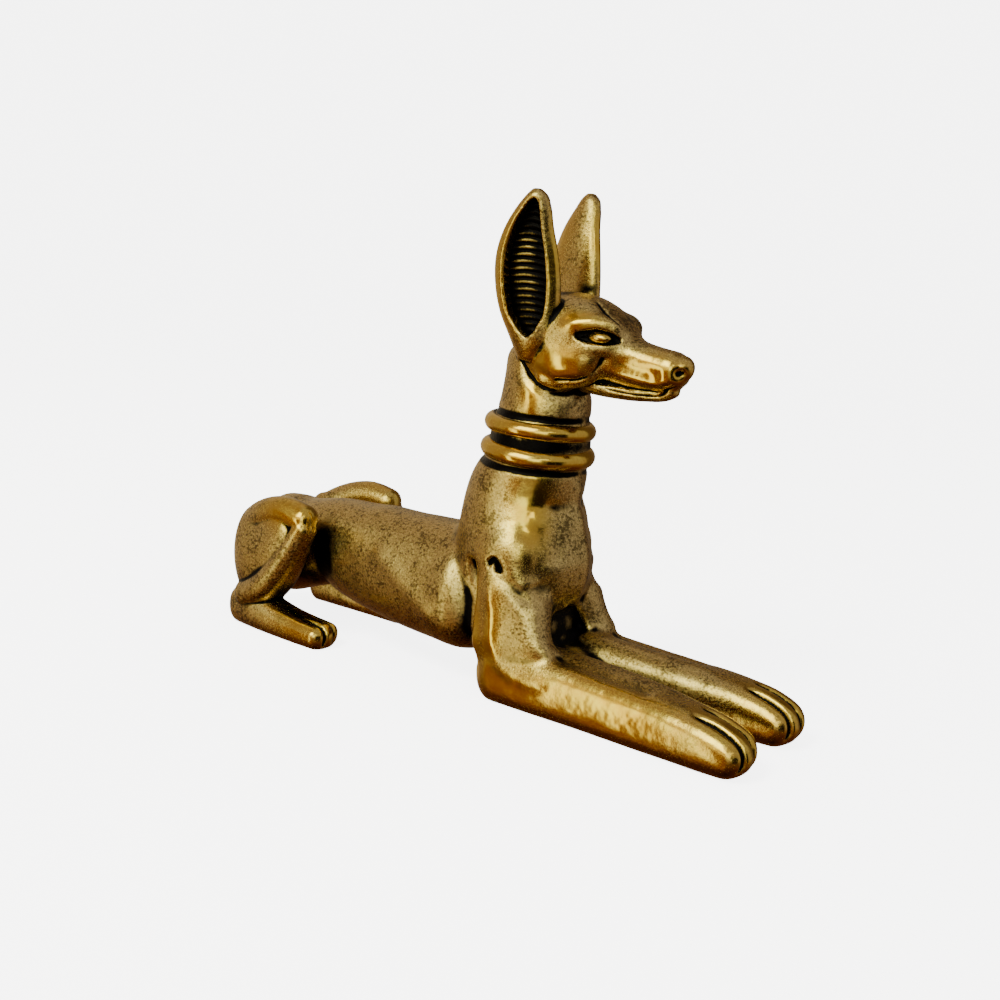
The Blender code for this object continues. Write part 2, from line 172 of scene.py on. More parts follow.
# %% Meshes, melting and smoothing
def faced_out(points, quads, fans):
    """The skin with its faces turned over if they look inwards: the solid that they close has
    then a volume below nothing, summed from the faces' corners taken as a triple product."""
    halves = np.concatenate([quads[:, :3], quads[:, [0, 2, 3]], fans])
    a, b, c = (points[halves[:, k]] for k in range(3))
    if np.einsum("ij,ij->", a, np.cross(b, c)) < 0:
        quads, fans = quads[:, ::-1], fans[:, ::-1]
    return points, quads, fans


def mesh_of(surfaces, name):
    """One mesh of several skins, each a trio of points, quads and triangles."""
    surfaces = [faced_out(*surface) for surface in surfaces]
    starts = np.cumsum([0] + [len(points) for points, _, _ in surfaces])
    points = np.concatenate([points for points, _, _ in surfaces])
    faces = []
    for start, (_, quads, fans) in zip(starts, surfaces):
        faces += (quads + start).tolist() + (fans + start).tolist()
    mesh = bpy.data.meshes.new(name)
    mesh.from_pydata(points, [], faces)
    mesh.update()
    return mesh


def arrays_of(mesh):
    """The mesh's points, and its quads as rows of four; a triangle repeats its last corner."""
    points = np.empty(len(mesh.vertices) * 3, np.float32)
    mesh.vertices.foreach_get("co", points)
    corners = np.empty(len(mesh.loops), np.int32)
    mesh.loops.foreach_get("vertex_index", corners)
    first = np.empty(len(mesh.polygons), np.int32)
    mesh.polygons.foreach_get("loop_start", first)
    sides = np.empty(len(mesh.polygons), np.int32)
    mesh.polygons.foreach_get("loop_total", sides)
    quads = corners[first[:, None] + np.minimum(np.arange(4)[None], sides[:, None] - 1)]
    return points.reshape(-1, 3).astype(float), quads.astype(np.int64)


def through(mesh, kind, **settings):
    """The mesh as one modifier leaves it."""
    holder = bpy.data.objects.new("holder", mesh)
    bpy.context.scene.collection.objects.link(holder)
    modifier = holder.modifiers.new("step", kind)
    for name, value in settings.items():
        setattr(modifier, name, value)
    graph = bpy.context.evaluated_depsgraph_get()
    made = bpy.data.meshes.new_from_object(holder.evaluated_get(graph))
    bpy.data.objects.remove(holder)
    return made


def melted(surfaces, cube):
    """The skins made one, on cubes of this size in millimetres, as points and quads."""
    whole = through(mesh_of(surfaces, "wax"), "REMESH", mode="VOXEL", voxel_size=cube)
    return arrays_of(whole)


def summed(corners, values, count):
    """For each point, the sum of the values that its corners carry."""
    flat = corners.ravel()
    return np.stack([np.bincount(flat, values[:, k], count) for k in range(values.shape[1])], -1)


def normals_of(points, quads):
    """Unit normals: each face's diagonals crossed, summed over the faces round a point."""
    a, b, c, d = (points[quads[:, k]] for k in range(4))
    face = np.cross(c - a, d - b)
    total = summed(quads, np.repeat(face, 4, axis=0), len(points))
    return total / np.maximum(np.linalg.norm(total, axis=1), 1e-12)[:, None]


def smoothed(points, quads, rounds, amount=1.0, fill=0.0):
    """Each round moves a point towards the mean of its neighbours. Fill, from 0 to 1, takes
    away the part of a move that goes inwards, so that hollows fill and edges stay."""
    count = len(points)
    ends = np.concatenate([quads[:, [0, 1]], quads[:, [1, 2]], quads[:, [2, 3]], quads[:, [3, 0]]])
    ends = np.unique(np.sort(ends[ends[:, 0] != ends[:, 1]], axis=1), axis=0)
    both_ways = np.concatenate([ends, ends[:, ::-1]])
    near = np.bincount(both_ways[:, 0], minlength=count)[:, None]
    for _ in range(rounds):
        step = summed(both_ways[:, 0], points[both_ways[:, 1]], count) / near - points
        if fill:
            outwards = np.einsum("ij,ij->i", step, normals_of(points, quads))
            step *= np.where(outwards > 0, 1.0, 1 - fill)[:, None]
        points = points + step * amount
    return points


print("wax tools ready")

# %% [markdown]
# ## Trunk, chest, skull and upper arms
# These, with the forelegs, run into each other without an edge on the real figure. They are
# melted together first, on fairly large cubes, and the warm-tool smoothing gives the long soft
# joins.

# %% The soft body
TRUNK = (
    (-38.4, 0, 8.0, 3.6, 4.6, 5.0, 2.0),
    (-35.5, 0, 8.2, 5.2, 6.1, 5.6, 2.0),
    (-31.0, 0, 9.6, 5.0, 5.6, 5.6, 2.1),
    (-26.5, 0, 12.0, 4.4, 3.5, 7.2, 2.1),
    (-21.0, 0, 11.0, 4.9, 5.1, 7.3, 2.2),
    (-15.0, 0, 9.4, 5.8, 6.8, 6.4, 2.2),
    (-9.0, 0, 8.4, 6.6, 7.9, 5.6, 2.2),
    (-5.0, 0, 8.2, 7.1, 8.2, 5.4, 2.2),
    (-2.2, 0, 8.4, 6.4, 7.4, 5.0, 2.1),
    (-0.6, 0, 8.6, 4.4, 5.8, 4.0, 2.0),
)
CHEST = (
    (0.2, 0, 4.5, 5.0, 3.2, 4.0, 2.0),
    (0.2, 0, 7.6, 5.6, 3.8, 5.4, 2.0),
    (0.1, 0, 9.6, 6.0, 5.0, 6.2, 2.0),
    (0.1, 0, 11.2, 6.4, 6.7, 6.6, 2.0),
    (-0.2, 0, 13.6, 6.9, 7.5, 7.2, 2.0),
    (-0.6, 0, 17.2, 6.8, 7.1, 7.2, 2.0),
    (-0.8, 0, 21.0, 6.1, 6.5, 6.2, 2.0),
    (0.1, 0, 24.2, 5.5, 5.7, 5.3, 2.0),
    (0.35, 0, 25.8, 5.3, 5.55, 5.2, 2.0),
    (0.45, 0, 27.2, 5.1, 5.5, 5.2, 2.0),
    (0.5, 0, 28.6, 4.9, 5.3, 5.0, 2.0),
    (0.7, 0, 30.0, 4.6, 5.1, 4.75, 2.0),
    (0.9, 0, 31.8, 4.35, 4.95, 4.7, 2.0),
    (1.5, 0, 34.5, 4.2, 4.7, 5.2, 2.0),
    (2.0, 0, 38.0, 3.8, 4.0, 5.2, 2.0),
)
SKULL = (
    (-2.6, 0, 37.8, 2.4, 2.4, 2.8, 2.0),
    (-0.8, 0, 38.2, 3.9, 3.5, 3.8, 2.0),
    (2.4, 0, 38.2, 4.6, 4.2, 4.0, 2.0),
    (5.6, 0, 38.2, 4.4, 4.0, 3.8, 2.1),
    (8.2, 0, 37.4, 3.6, 3.4, 3.4, 2.1),
    (10.4, 0, 36.6, 2.5, 2.3, 2.9, 2.2),
    (13.4, 0, 36.0, 2.1, 2.1, 2.35, 2.3),
    (16.0, 0, 35.8, 1.9, 2.0, 1.75, 2.3),
    (17.1, 0, 35.8, 1.6, 1.8, 1.2, 2.2),
)
UPPER_ARM = (
    (2.6, 5.9, 3.6, 1.9, 8.2, 4.6, 2.4),
    (2.2, 5.9, 5.0, 1.9, 7.0, 4.5, 2.8),
    (2.0, 5.8, 6.4, 1.95, 6.1, 4.4, 3.0),
    (1.9, 5.5, 8.0, 2.25, 5.0, 4.3, 2.8),
    (1.6, 4.9, 10.2, 2.85, 4.6, 4.1, 2.5),
    (1.2, 4.6, 12.6, 3.1, 3.8, 3.8, 2.2),
    (0.8, 4.3, 15.2, 3.1, 3.2, 3.1, 2.0),
    (0.5, 3.9, 17.8, 2.4, 2.4, 2.6, 2.0),
)
FOREARM = (
    (-1.5, 4.9, 3.3, 2.7, 3.5, 3.7, 2.8),
    (5.0, 4.6, 3.3, 3.2, 3.2, 3.7, 3.0),
    (12.0, 4.5, 3.2, 3.3, 3.0, 3.6, 3.0),
    (19.0, 4.8, 3.0, 3.15, 2.85, 3.4, 3.0),
    (24.0, 5.2, 2.8, 3.0, 2.65, 3.1, 2.8),
    (27.2, 5.35, 2.5, 2.95, 2.4, 2.9, 2.4),
    (29.2, 5.35, 2.0, 2.75, 1.9, 2.4, 2.3),
    (PAW_TIP_X, 5.3, 1.6, 2.3, 1.2, 1.9, 2.2),
)
WEB = (
    (1.0, 0, 3.0, 3.4, 2.4, 2.6, 2.2),
    (6.0, 0, 2.8, 3.2, 2.7, 2.4, 2.2),
    (11.0, 0, 1.8, 2.6, 1.6, 1.8, 2.2),
)
BROW = (
    (3.6, 3.3, 38.8, 0.8, 0.7, 0.8, 2.0),
    (5.4, 3.3, 39.4, 1.3, 0.95, 1.0, 2.0),
    (7.2, 2.9, 39.8, 1.2, 0.95, 0.9, 2.0),
    (9.0, 2.25, 39.85, 0.85, 0.7, 0.7, 2.0),
    (10.3, 1.6, 39.2, 0.6, 0.5, 0.5, 2.0),
)
SHOULDER = (0.6, 4.6, 15.2, 4.2, 2.9, 4.4)
BREAST = (3.6, 0.0, 14.0, 3.6, 3.4, 4.4)
ARCH_FLOOR = (2.6, 0.0, 6.8, 2.7, 5.2, 4.8)
CHEEK = (4.3, 2.5, 36.0, 4.6, 2.15, 2.9)
COARSE_CUBE = 0.26

soft = [form(TRUNK), form(CHEST, upright=True), form(SKULL), form(WEB)]
soft += [ball(BREAST), ball(ARCH_FLOOR)]
soft += both(form, UPPER_ARM, upright=True) + both(form, FOREARM, round_off=0.75)
soft += both(ball, SHOULDER) + both(ball, CHEEK) + both(form, BROW)
body_points, body_quads = melted(soft, COARSE_CUBE)
body_points = smoothed(body_points, body_quads, 30, 0.55, fill=1.0)
print("soft body:", len(body_points), "points")

# %% [markdown]
# ## Carving
# Creases are cut with a small round gouge, and low ridges are laid on as rolls of wax. Either is
# a line, a width and a depth: a point sinks or rises by the depth, and by less the further it is
# from the line. The cuts are also remembered, because dark patina gathers in them later.

# %% The gouge
def on_skin(curve, points):
    """Each place on the curve moved to the nearest point of the skin, then the steps evened out
    by taking each place as a quarter, a half and a quarter of its neighbours and itself."""
    low, high = curve.min(axis=0) - 2, curve.max(axis=0) + 2
    near = points[np.all((points > low) & (points < high), axis=1)]
    found = np.array([near[((near - place) ** 2).sum(axis=1).argmin()] for place in curve])
    for _ in range(3):
        found[1:-1] = (found[:-2] + 2 * found[1:-1] + found[2:]) / 4
    return found


def off_line(points, line, reach, count=40):
    """The distance of each point from a smooth line laid on the skin, and its place along the
    line from 0 to 1. Points further off than the reach are given as infinitely far."""
    curve = on_skin(eased(line, count, packed=False)[0], points)
    far = np.full(len(points), np.inf)
    place = np.zeros(len(points))
    low, high = curve.min(axis=0) - reach, curve.max(axis=0) + reach
    near = np.flatnonzero(np.all((points > low) & (points < high), axis=1))
    for i, (start, end) in enumerate(zip(curve[:-1], curve[1:])):
        run = end - start
        part = np.clip((points[near] - start) @ run / max(run @ run, 1e-9), 0, 1)
        gap = np.linalg.norm(points[near] - start - part[:, None] * run, axis=1)
        closer = gap < far[near]
        far[near[closer]] = gap[closer]
        place[near[closer]] = (i + part[closer]) / (count - 1)
    return far, place


def gouged(points, quads, line, width, depth, taper=0.2):
    """Sinks each point along its normal by depth times exp(-(distance / width) squared), and
    less over the taper at each end of the line; a depth below nothing raises a ridge. It is done
    on both sides of the animal. Gives the points and how much each was cut."""
    normals = normals_of(points, quads)
    cut = np.zeros(len(points))
    for way in SIDES:
        far, place = off_line(points, np.array(line) * (1, way, 1), 3 * width)
        ends = np.clip(np.minimum(place, 1 - place) / max(taper, 1e-6), 0, 1) ** 0.6
        cut = np.maximum(cut, np.exp(-((far / width) ** 2)) * ends)
    return points - (cut * depth)[:, None] * normals, cut


SOFT_STROKES = {
    "behind the arm": (
        ((-2.4, 6.6, 14.6), (-2.7, 7.2, 11.0), (-2.6, 7.2, 7.0), (-2.2, 6.8, 3.4)),
        0.6, 1.5,
    ),
    "shoulder crease": (
        ((0.6, 7.4, 15.2), (1.8, 7.4, 14.0), (3.8, 7.0, 12.4), (5.2, 6.2, 11.0)),
        0.7, 0.35,
    ),
    "below the shoulder": (((5.0, 6.0, 13.2), (5.6, 5.4, 11.6)), 1.4, 0.35),
    "under the jaw": (
        ((0.5, 3.8, 34.8), (2.1, 3.8, 33.2), (4.2, 3.4, 32.3), (6.4, 2.4, 32.2), (8.0, 0.0, 32.4)),
        0.5, 0.5,
    ),
    "arch": (((5.4, 0.0, 9.6), (4.4, 0.0, 8.2), (4.4, 0.0, 6.6)), 1.4, 0.2),
    "keel": (
        ((5.6, 0.0, 23.4), (5.8, 0.0, 20.0), (6.6, 0.0, 16.0), (7.0, 0.0, 12.6), (5.8, 0.0, 10.6)),
        1.0, -0.4,
    ),
    "beside the keel": (((5.2, 2.8, 21.5), (5.6, 3.2, 18.0), (6.0, 3.4, 15.0)), 1.2, 0.35),
    "arm's edge": (
        ((0.6, 7.6, 13.0), (1.5, 7.9, 9.0), (1.5, 7.9, 7.0), (2.4, 7.9, 5.0), (4.3, 7.9, 4.0),
         (9.0, 7.9, 3.8)),
        0.8, -0.25,
    ),
    "forearm groove": (
        ((7.2, 5.6, 6.3), (11.0, 5.6, 6.1), (16.0, 5.8, 5.7), (20.0, 6.0, 5.4)),
        0.7, 0.35,
    ),
    "inner ridge": (
        ((6.0, 3.4, 6.4), (11.0, 3.2, 6.2), (17.0, 3.6, 5.7), (22.0, 4.2, 5.3)),
        0.9, -0.25,
    ),
    "flank": (((-17.0, 5.9, 12.6), (-12.0, 6.6, 9.6), (-7.0, 7.2, 7.0)), 1.2, -0.3),
    "lower lid": (
        ((6.0, 3.8, 37.3), (7.4, 3.6, 37.2), (9.0, 3.1, 37.35), (10.2, 2.3, 37.9)),
        0.4, -0.14,
    ),
    "jawbone": (
        ((1.8, 3.9, 34.0), (3.2, 3.8, 33.2), (5.0, 3.4, 32.9), (7.0, 2.8, 33.1), (9.0, 2.2, 33.6)),
        0.5, -0.25,
    ),
    "cheek's front": (((7.6, 3.3, 34.9), (8.7, 3.1, 35.8), (9.3, 3.1, 36.8)), 0.7, 0.25),
    "muzzle's side": (((10.0, 2.5, 36.2), (12.5, 2.2, 35.8), (15.0, 2.0, 35.4)), 0.5, 0.28),
    "rim of the arch": (
        ((5.6, 0.4, 10.9), (5.6, 2.2, 9.4), (5.9, 3.5, 7.7), (6.5, 4.4, 5.9)),
        0.5, -0.4,
    ),
    "crest of the neck": (((1.6, 4.3, 33.6), (1.9, 4.4, 31.6), (1.9, 4.4, 30.2)), 0.7, -0.12),
}
for line, width, depth in SOFT_STROKES.values():
    body_points, _ = gouged(body_points, body_quads, line, width, depth, taper=0.1)
body_points = smoothed(body_points, body_quads, 3, 0.5)
print(len(SOFT_STROKES), "soft strokes on each side")

# %% [markdown]
# ## Legs, haunches, tail, jaw and brow
# These stand crisply against the body, so they join it in a second melt on much smaller cubes.
# The haunches, rump and tail are kept plainer than the head, and in keeping with the rest.

# %% The crisp forms
JAW = (
    (4.0, 0, 34.2, 2.6, 1.2, 1.5, 2.0),
    (8.5, 0, 33.45, 1.8, 0.7, 1.05, 2.0),
    (12.5, 0, 33.3, 1.35, 0.5, 0.75, 2.0),
    (14.9, 0, 33.55, 1.1, 0.5, 0.6, 2.0),
    (16.1, 0, 34.1, 0.8, 0.5, 0.5, 2.0),
)
THIGH = (
    (-37.2, 4.6, 7.4, 2.2, 4.0, 5.0, 2.0),
    (-34.5, 5.8, 8.0, 3.0, 5.8, 6.2, 2.0),
    (-31.0, 6.6, 9.4, 2.8, 5.4, 5.2, 2.0),
    (-28.0, 7.2, 11.6, 2.2, 4.0, 3.6, 2.0),
    (-25.6, 7.3, 13.4, 1.6, 2.4, 2.6, 2.0),
)
KNEE = (
    (-37.0, 4.4, 9.0, 1.8, 1.8, 1.8, 2.0),
    (-33.6, 6.4, 12.8, 1.8, 1.8, 2.4, 2.0),
    (-29.0, 7.2, 14.6, 1.7, 1.7, 2.4, 2.0),
    (-24.2, 7.3, 13.9, 1.6, 1.8, 2.2, 2.0),
)
SHIN = (
    (-24.9, 7.4, 14.4, 1.5, 1.2, 1.4, 2.0),
    (-27.2, 7.8, 10.2, 1.8, 1.4, 1.8, 2.0),
    (-30.5, 8.0, 6.0, 1.9, 1.6, 2.0, 2.0),
    (-35.0, 7.4, 3.2, 1.9, 1.8, 2.0, 2.0),
)
HIND_FOOT = (
    (-37.0, 6.6, 2.4, 1.9, 2.2, 2.7, 2.3),
    (-32.0, 7.0, 2.1, 2.3, 2.1, 2.4, 2.3),
    (-27.0, 7.2, 1.7, 2.2, 1.6, 2.1, 2.3),
    (-20.9, 7.2, 1.4, 2.2, 1.3, 1.8, 2.3),
)
TAIL = (
    (-36.0, 0, 11.5, 1.9, 1.9, 1.9, 2.0),
    (TAIL_BACK_X + 2.1, 0, 8.6, 1.7, 1.7, 1.7, 2.0),
    (TAIL_BACK_X + 1.6, 0, 4.6, 1.6, 1.6, 1.6, 2.0),
    (TAIL_BACK_X + 1.9, 0, 0.9, 1.4, 1.4, 1.4, 2.0),
)
NOSE = (16.3, 0.0, 36.3, 1.2, 1.3, 1.3)

crisp = [form(JAW), form(TAIL, upright=True), ball(NOSE)]
crisp += both(form, THIGH) + both(form, KNEE) + both(form, SHIN) + both(form, HIND_FOOT)
print(len(crisp), "crisp forms")

# %% [markdown]
# ## Ears
# The ears are tall leaves with a deep hollow inside a rounded rim. A leaf is easy to describe
# across its width: s runs from -1 at the rear edge to 1 at the front edge, and both faces bulge
# between the edges. The hollow's outline is a second, narrower leaf.

# %% The ear leaf
EAR = (
    (35.4, 2.4, -3.0, -0.6, -3.4, 1.3),
    (37.4, 3.5, -3.4, -1.3, -4.0, 1.5),
    (40.0, 3.9, -3.5, -2.35, -4.7, 1.5),
    (43.0, 3.9, -3.5, -2.9, -5.2, 1.45),
    (46.0, 3.5, -3.7, -2.8, -5.4, 1.35),
    (48.8, 2.9, -4.1, -1.8, -5.4, 1.2),
    (50.8, 2.6, -4.4, -0.5, -5.3, 1.0),
    (51.8, 2.2, -4.6, 0.3, -5.1, 0.8),
    (52.3, 1.6, -4.8, 0.8, -5.0, 0.4),
)
HOLLOW_LOW = 37.7
HOLLOW_HIGH = 51.4
HOLLOW_DEPTH = 1.7
WALL_RUN = 0.14
BACK_SHARE = 0.35
HOLLOW_PLACES = (0.0, 0.055, 0.17, 0.28, 0.456, 0.63, 0.74, 0.857, 0.97, 1.0)
HOLLOW_WIDTHS = (0.0, 0.34, 0.62, 0.66, 0.67, 0.65, 0.61, 0.54, 0.36, 0.0)


def ear_frame(height):
    """For each height: the leaf's middle, its half width as a vector, outwards, half thickness."""
    rows = np.array(EAR)
    smooth = eased(np.stack([rows[:, 0], 0 * rows[:, 0], 0 * rows[:, 0], *rows[:, 1:].T], -1), 400)[0]
    front = np.stack([np.interp(height, smooth[:, 0], smooth[:, k]) for k in (3, 4)], -1)
    rear = np.stack([np.interp(height, smooth[:, 0], smooth[:, k]) for k in (5, 6)], -1)
    thick = np.interp(height, smooth[:, 0], smooth[:, 7])
    half = (front - rear) / 2
    outward = np.stack([half[:, 1], -half[:, 0]], -1) / np.linalg.norm(half, axis=1)[:, None]
    return (front + rear) / 2, half, outward, thick


def hollow_width(height):
    """The hollow's half width as a share of the leaf's, by height."""
    part = (height - HOLLOW_LOW) / (HOLLOW_HIGH - HOLLOW_LOW)
    return np.interp(part, HOLLOW_PLACES, HOLLOW_WIDTHS, left=0, right=0)


def leaf_face(across, height_width, thick):
    """How far out the leaf's outer face lies: the half thickness times the root of 1 - s
    squared, and inside the hollow's outline lower by its depth, over a steep eased wall."""
    bulge = thick * np.sqrt(np.clip(1 - across**2, 0, 1))
    wall = np.clip((height_width - np.abs(across)) / WALL_RUN, 0, 1)
    wall = wall * wall * (3 - 2 * wall)
    return bulge - np.minimum(HOLLOW_DEPTH * wall, bulge + BACK_SHARE * thick)


def ear(side=1.0):
    """The leaf: at angle a, s is cos a. The outer face is the leaf's face, and the inner one is
    the same bulge without the hollow."""
    rows = np.array(EAR)
    height = rows[0, 0] + (rows[-1, 0] - rows[0, 0]) * np.sin(np.linspace(0, np.pi / 2, 150))
    middle, half, outward, thick = ear_frame(height)
    angle = np.linspace(0, 2 * np.pi, 160, endpoint=False)
    across = np.cos(angle)[None]
    outer = leaf_face(across, hollow_width(height)[:, None], thick[:, None])
    reach = np.where(np.sin(angle)[None] > 0, outer, np.sin(angle)[None] * thick[:, None])
    points = np.empty((len(height), len(angle), 3))
    points[..., :2] = middle[:, None] + half[:, None] * across[..., None]
    points[..., :2] += outward[:, None] * reach[..., None]
    points[..., 2] = height[:, None]
    return skin(points * (1, -side, 1))


def cleared(points, side):
    """The points with the ear's hollow cleared: what stands above the leaf's face inside the
    hollow's outline, such as the side of the skull, is pressed down onto it."""
    points = points * (1, -side, 1)
    box = (points[:, 2] > HOLLOW_LOW) & (points[:, 2] < HOLLOW_HIGH) & (points[:, 1] < -2)
    near = np.flatnonzero(box & (points[:, 0] < 4.5) & (points[:, 0] > -4))
    middle, half, outward, thick = ear_frame(points[near, 2])
    away = points[near, :2] - middle
    across = (away * half).sum(axis=1) / (half**2).sum(axis=1)
    reach = (away * outward).sum(axis=1)
    width = hollow_width(points[near, 2])
    press = np.maximum(reach - leaf_face(across, width, thick), 0)
    press *= (np.abs(across) < width) & (reach > -0.6)
    points[near, :2] -= outward * press[:, None]
    return points * (1, -side, 1)


ears = both(ear)
print("each ear has", len(ears[0][0]), "points before melting")

# %% [markdown]
# ## One skin
# The soft body, the crisp forms and the ears are melted together on small cubes, and lightly
# smoothed, as a casting loses its sharpest edges in the mould.

# %% The fine melt
FINE_CUBE = 0.13

body_skin = (body_points, body_quads, np.empty((0, 3), np.int64))
points, quads = melted([body_skin] + crisp + ears, FINE_CUBE)
points = smoothed(points, quads, 6, 0.6)
for side in SIDES:
    points = cleared(points, side)
print("fine skin:", len(points), "points,", 2 * len(quads), "triangles")

# %% [markdown]
# ## Fine carving
# Eyes, mouth, nostrils, toes and the sharp creases are cut in the fine skin. Each cut adds to a
# record of how deep the gouge went, which the patina reads later.

# %% Cuts on both sides
FINE_CUTS = {
    "mouth": (
        ((16.9, 0.7, 34.4), (16.0, 1.3, 33.95), (14.5, 1.6, 33.6), (12.2, 1.7, 33.5),
         (10.2, 1.9, 33.6), (8.8, 2.3, 33.65)),
        0.15, 0.3, 0.9,
    ),
    "lip slit": (
        ((4.2, 4.2, 33.75), (5.4, 4.1, 33.75), (6.6, 3.7, 34.05), (7.8, 3.1, 34.7)),
        0.18, 0.3, 0.85,
    ),
    "lip fold": (((7.8, 3.1, 34.7), (8.7, 3.1, 35.6), (9.2, 3.1, 36.6)), 0.25, 0.1, 0.1),
    "jaw crease": (
        ((-0.2, 4.0, 35.8), (0.4, 4.1, 35.0), (1.3, 4.1, 34.0), (2.6, 3.9, 33.0), (4.4, 3.4, 32.4)),
        0.18, 0.25, 0.8,
    ),
    "brow furrow": (
        ((6.6, 1.2, 41.8), (8.2, 1.9, 41.0), (9.4, 2.1, 40.1), (10.2, 1.7, 39.3)),
        0.24, 0.2, 0.4,
    ),
    "upper lid": (
        ((6.1, 4.1, 38.4), (7.2, 3.9, 38.95), (8.6, 3.5, 39.15), (9.8, 2.8, 38.9), (10.4, 2.3, 38.3)),
        0.16, 0.22, 1.0,
    ),
    "shoulder pit": (
        ((0.2, 7.4, 14.6), (0.9, 7.5, 15.1), (1.4, 7.6, 14.6), (1.7, 7.6, 14.0)),
        0.3, 0.7, 1.0,
    ),
    "above the rings": (
        ((5.6, 0.0, 29.5), (4.6, 3.0, 29.6), (0.8, 4.9, 29.75), (-3.0, 3.3, 29.9), (-4.2, 0.0, 29.95)),
        0.32, 0.14, 0.95,
    ),
    "below the rings": (
        ((5.6, 0.0, 24.1), (4.5, 3.2, 24.2), (0.4, 5.4, 24.35), (-3.6, 3.8, 24.5), (-5.2, 0.0, 24.6)),
        0.34, 0.14, 0.95,
    ),
}
carved = np.zeros(len(points))
for line, width, depth, stain in FINE_CUTS.values():
    points, cut = gouged(points, quads, line, width, depth)
    carved = np.maximum(carved, cut * stain)
print("cut:", ", ".join(FINE_CUTS))

# %% [markdown]
# The eye is an almond-shaped hollow with a small ball in it. The almond lies on the side of the
# head, so it is drawn in x and z: its half height falls to nothing at both corners.

# %% Eyes and nostrils
EYE_MIDDLE = (8.4, 38.45)
EYE_HALF_LENGTH = 2.1
EYE_HALF_HEIGHT = 0.66
EYE_SLANT = 0.04
EYE_DEPTH = 0.6
NOSTRIL = (16.9, 1.35, 35.85)
NOSTRIL_REACH = (0.62, 0.6, 0.46)
NOSTRIL_DEPTH = 0.45


def almond(points):
    """From 1 in the middle of the eye's hollow to 0 at its rim: 1 minus the squared distance
    from the eye's long axis, measured in half heights that shrink towards the corners."""
    along = (points[:, 0] - EYE_MIDDLE[0]) / EYE_HALF_LENGTH
    level = EYE_MIDDLE[1] - EYE_SLANT * (points[:, 0] - EYE_MIDDLE[0])
    height = EYE_HALF_HEIGHT * np.sqrt(np.clip(1 - along**2, 0.0001, 1))
    off = (points[:, 2] - level) / height
    inside = np.clip(1 - off**2, 0, 1) * (np.abs(along) < 1)
    return inside * (np.abs(points[:, 1]) > 1.4)


normals = normals_of(points, quads)
inside = np.clip(almond(points) * 2.2, 0, 1)
points -= (inside * EYE_DEPTH)[:, None] * normals
carved = np.maximum(carved, 0.5 * inside)
for side in SIDES:
    gap = (points - np.array(NOSTRIL) * (1, side, 1)) / NOSTRIL_REACH
    hole = np.exp(-((gap**2).sum(axis=1)))
    points -= (hole * NOSTRIL_DEPTH)[:, None] * normals
    carved = np.maximum(carved, 0.7 * hole)
print("eye hollow", 2 * EYE_HALF_LENGTH, "by", 2 * EYE_HALF_HEIGHT, "mm")

# %% [markdown]
# Toes are parted by upright saw cuts that run from the top of the paw over its front. The cuts
# of the two forepaws don't quite match on the real piece, so each has its own.

# %% Toes
RIGHT_TOES = (5.35, 24.2, (-0.55, 1.4), 0.3, 0.6)
LEFT_TOES = (5.35, 24.6, (-1.5, 0.35), 0.3, 0.6)
HIND_TOES = (7.2, -24.6, (-0.8, 0.75), 0.24, 0.5)
CUT_RUN_IN = 2
CUT_LENGTH = 9


def part_toes(points, normals, middle_y, back_x, offsets, width, depth, side):
    """How deep each point is cut: depth times exp(-(distance from the saw's plane / width)
    squared), growing from nothing over the run-in, on faces that look forwards or up."""
    facing = np.clip(1.6 * (normals[:, 0] + normals[:, 2]), 0, 1)
    run = np.clip((points[:, 0] - back_x) / CUT_RUN_IN, 0, 1) * (points[:, 0] < back_x + CUT_LENGTH)
    off = points[:, 1:2] * side - middle_y - np.array(offsets)
    cut = np.exp(-((off / width) ** 2)).max(axis=1)
    return cut * run * facing * depth


normals = normals_of(points, quads)
for side, fore in zip(SIDES, (RIGHT_TOES, LEFT_TOES)):
    for toes in (fore, HIND_TOES):
        depth = part_toes(points, normals, *toes, side)
        points -= depth[:, None] * normals
        carved = np.maximum(carved, depth / toes[-1])
print("toes parted on four paws")

# %% [markdown]
# ## Where the patina lies
# Antiquing is a dark bath over the whole casting, rubbed off again wherever a cloth can reach.
# So the dark stays where the gouge went, where the skin is concave, and where other parts of the
# figure stand close. Blender could bake the last as ambient occlusion. Here it is worked out
# from height maps, like shadows from many suns, which needs no bake and no image.

# %% Reading the hollows
START_OFF = 0.35
CLEAR = 0.25


def sunk_in(points, quads, rounds):
    """How far, in millimetres, a point lies below its smoothed surroundings."""
    soft = smoothed(points, quads, rounds, 1.0)
    return np.einsum("ij,ij->i", soft - points, normals_of(points, quads))


def spread_directions(count):
    """Directions spread evenly over a sphere: equal steps in height, each turned by the golden
    angle from the last."""
    height = 1 - 2 * (np.arange(count) + 0.5) / count
    turn = np.arange(count) * np.pi * (3 - np.sqrt(5))
    wide = np.sqrt(1 - height**2)
    return np.stack([wide * np.cos(turn), wide * np.sin(turn), height], -1)


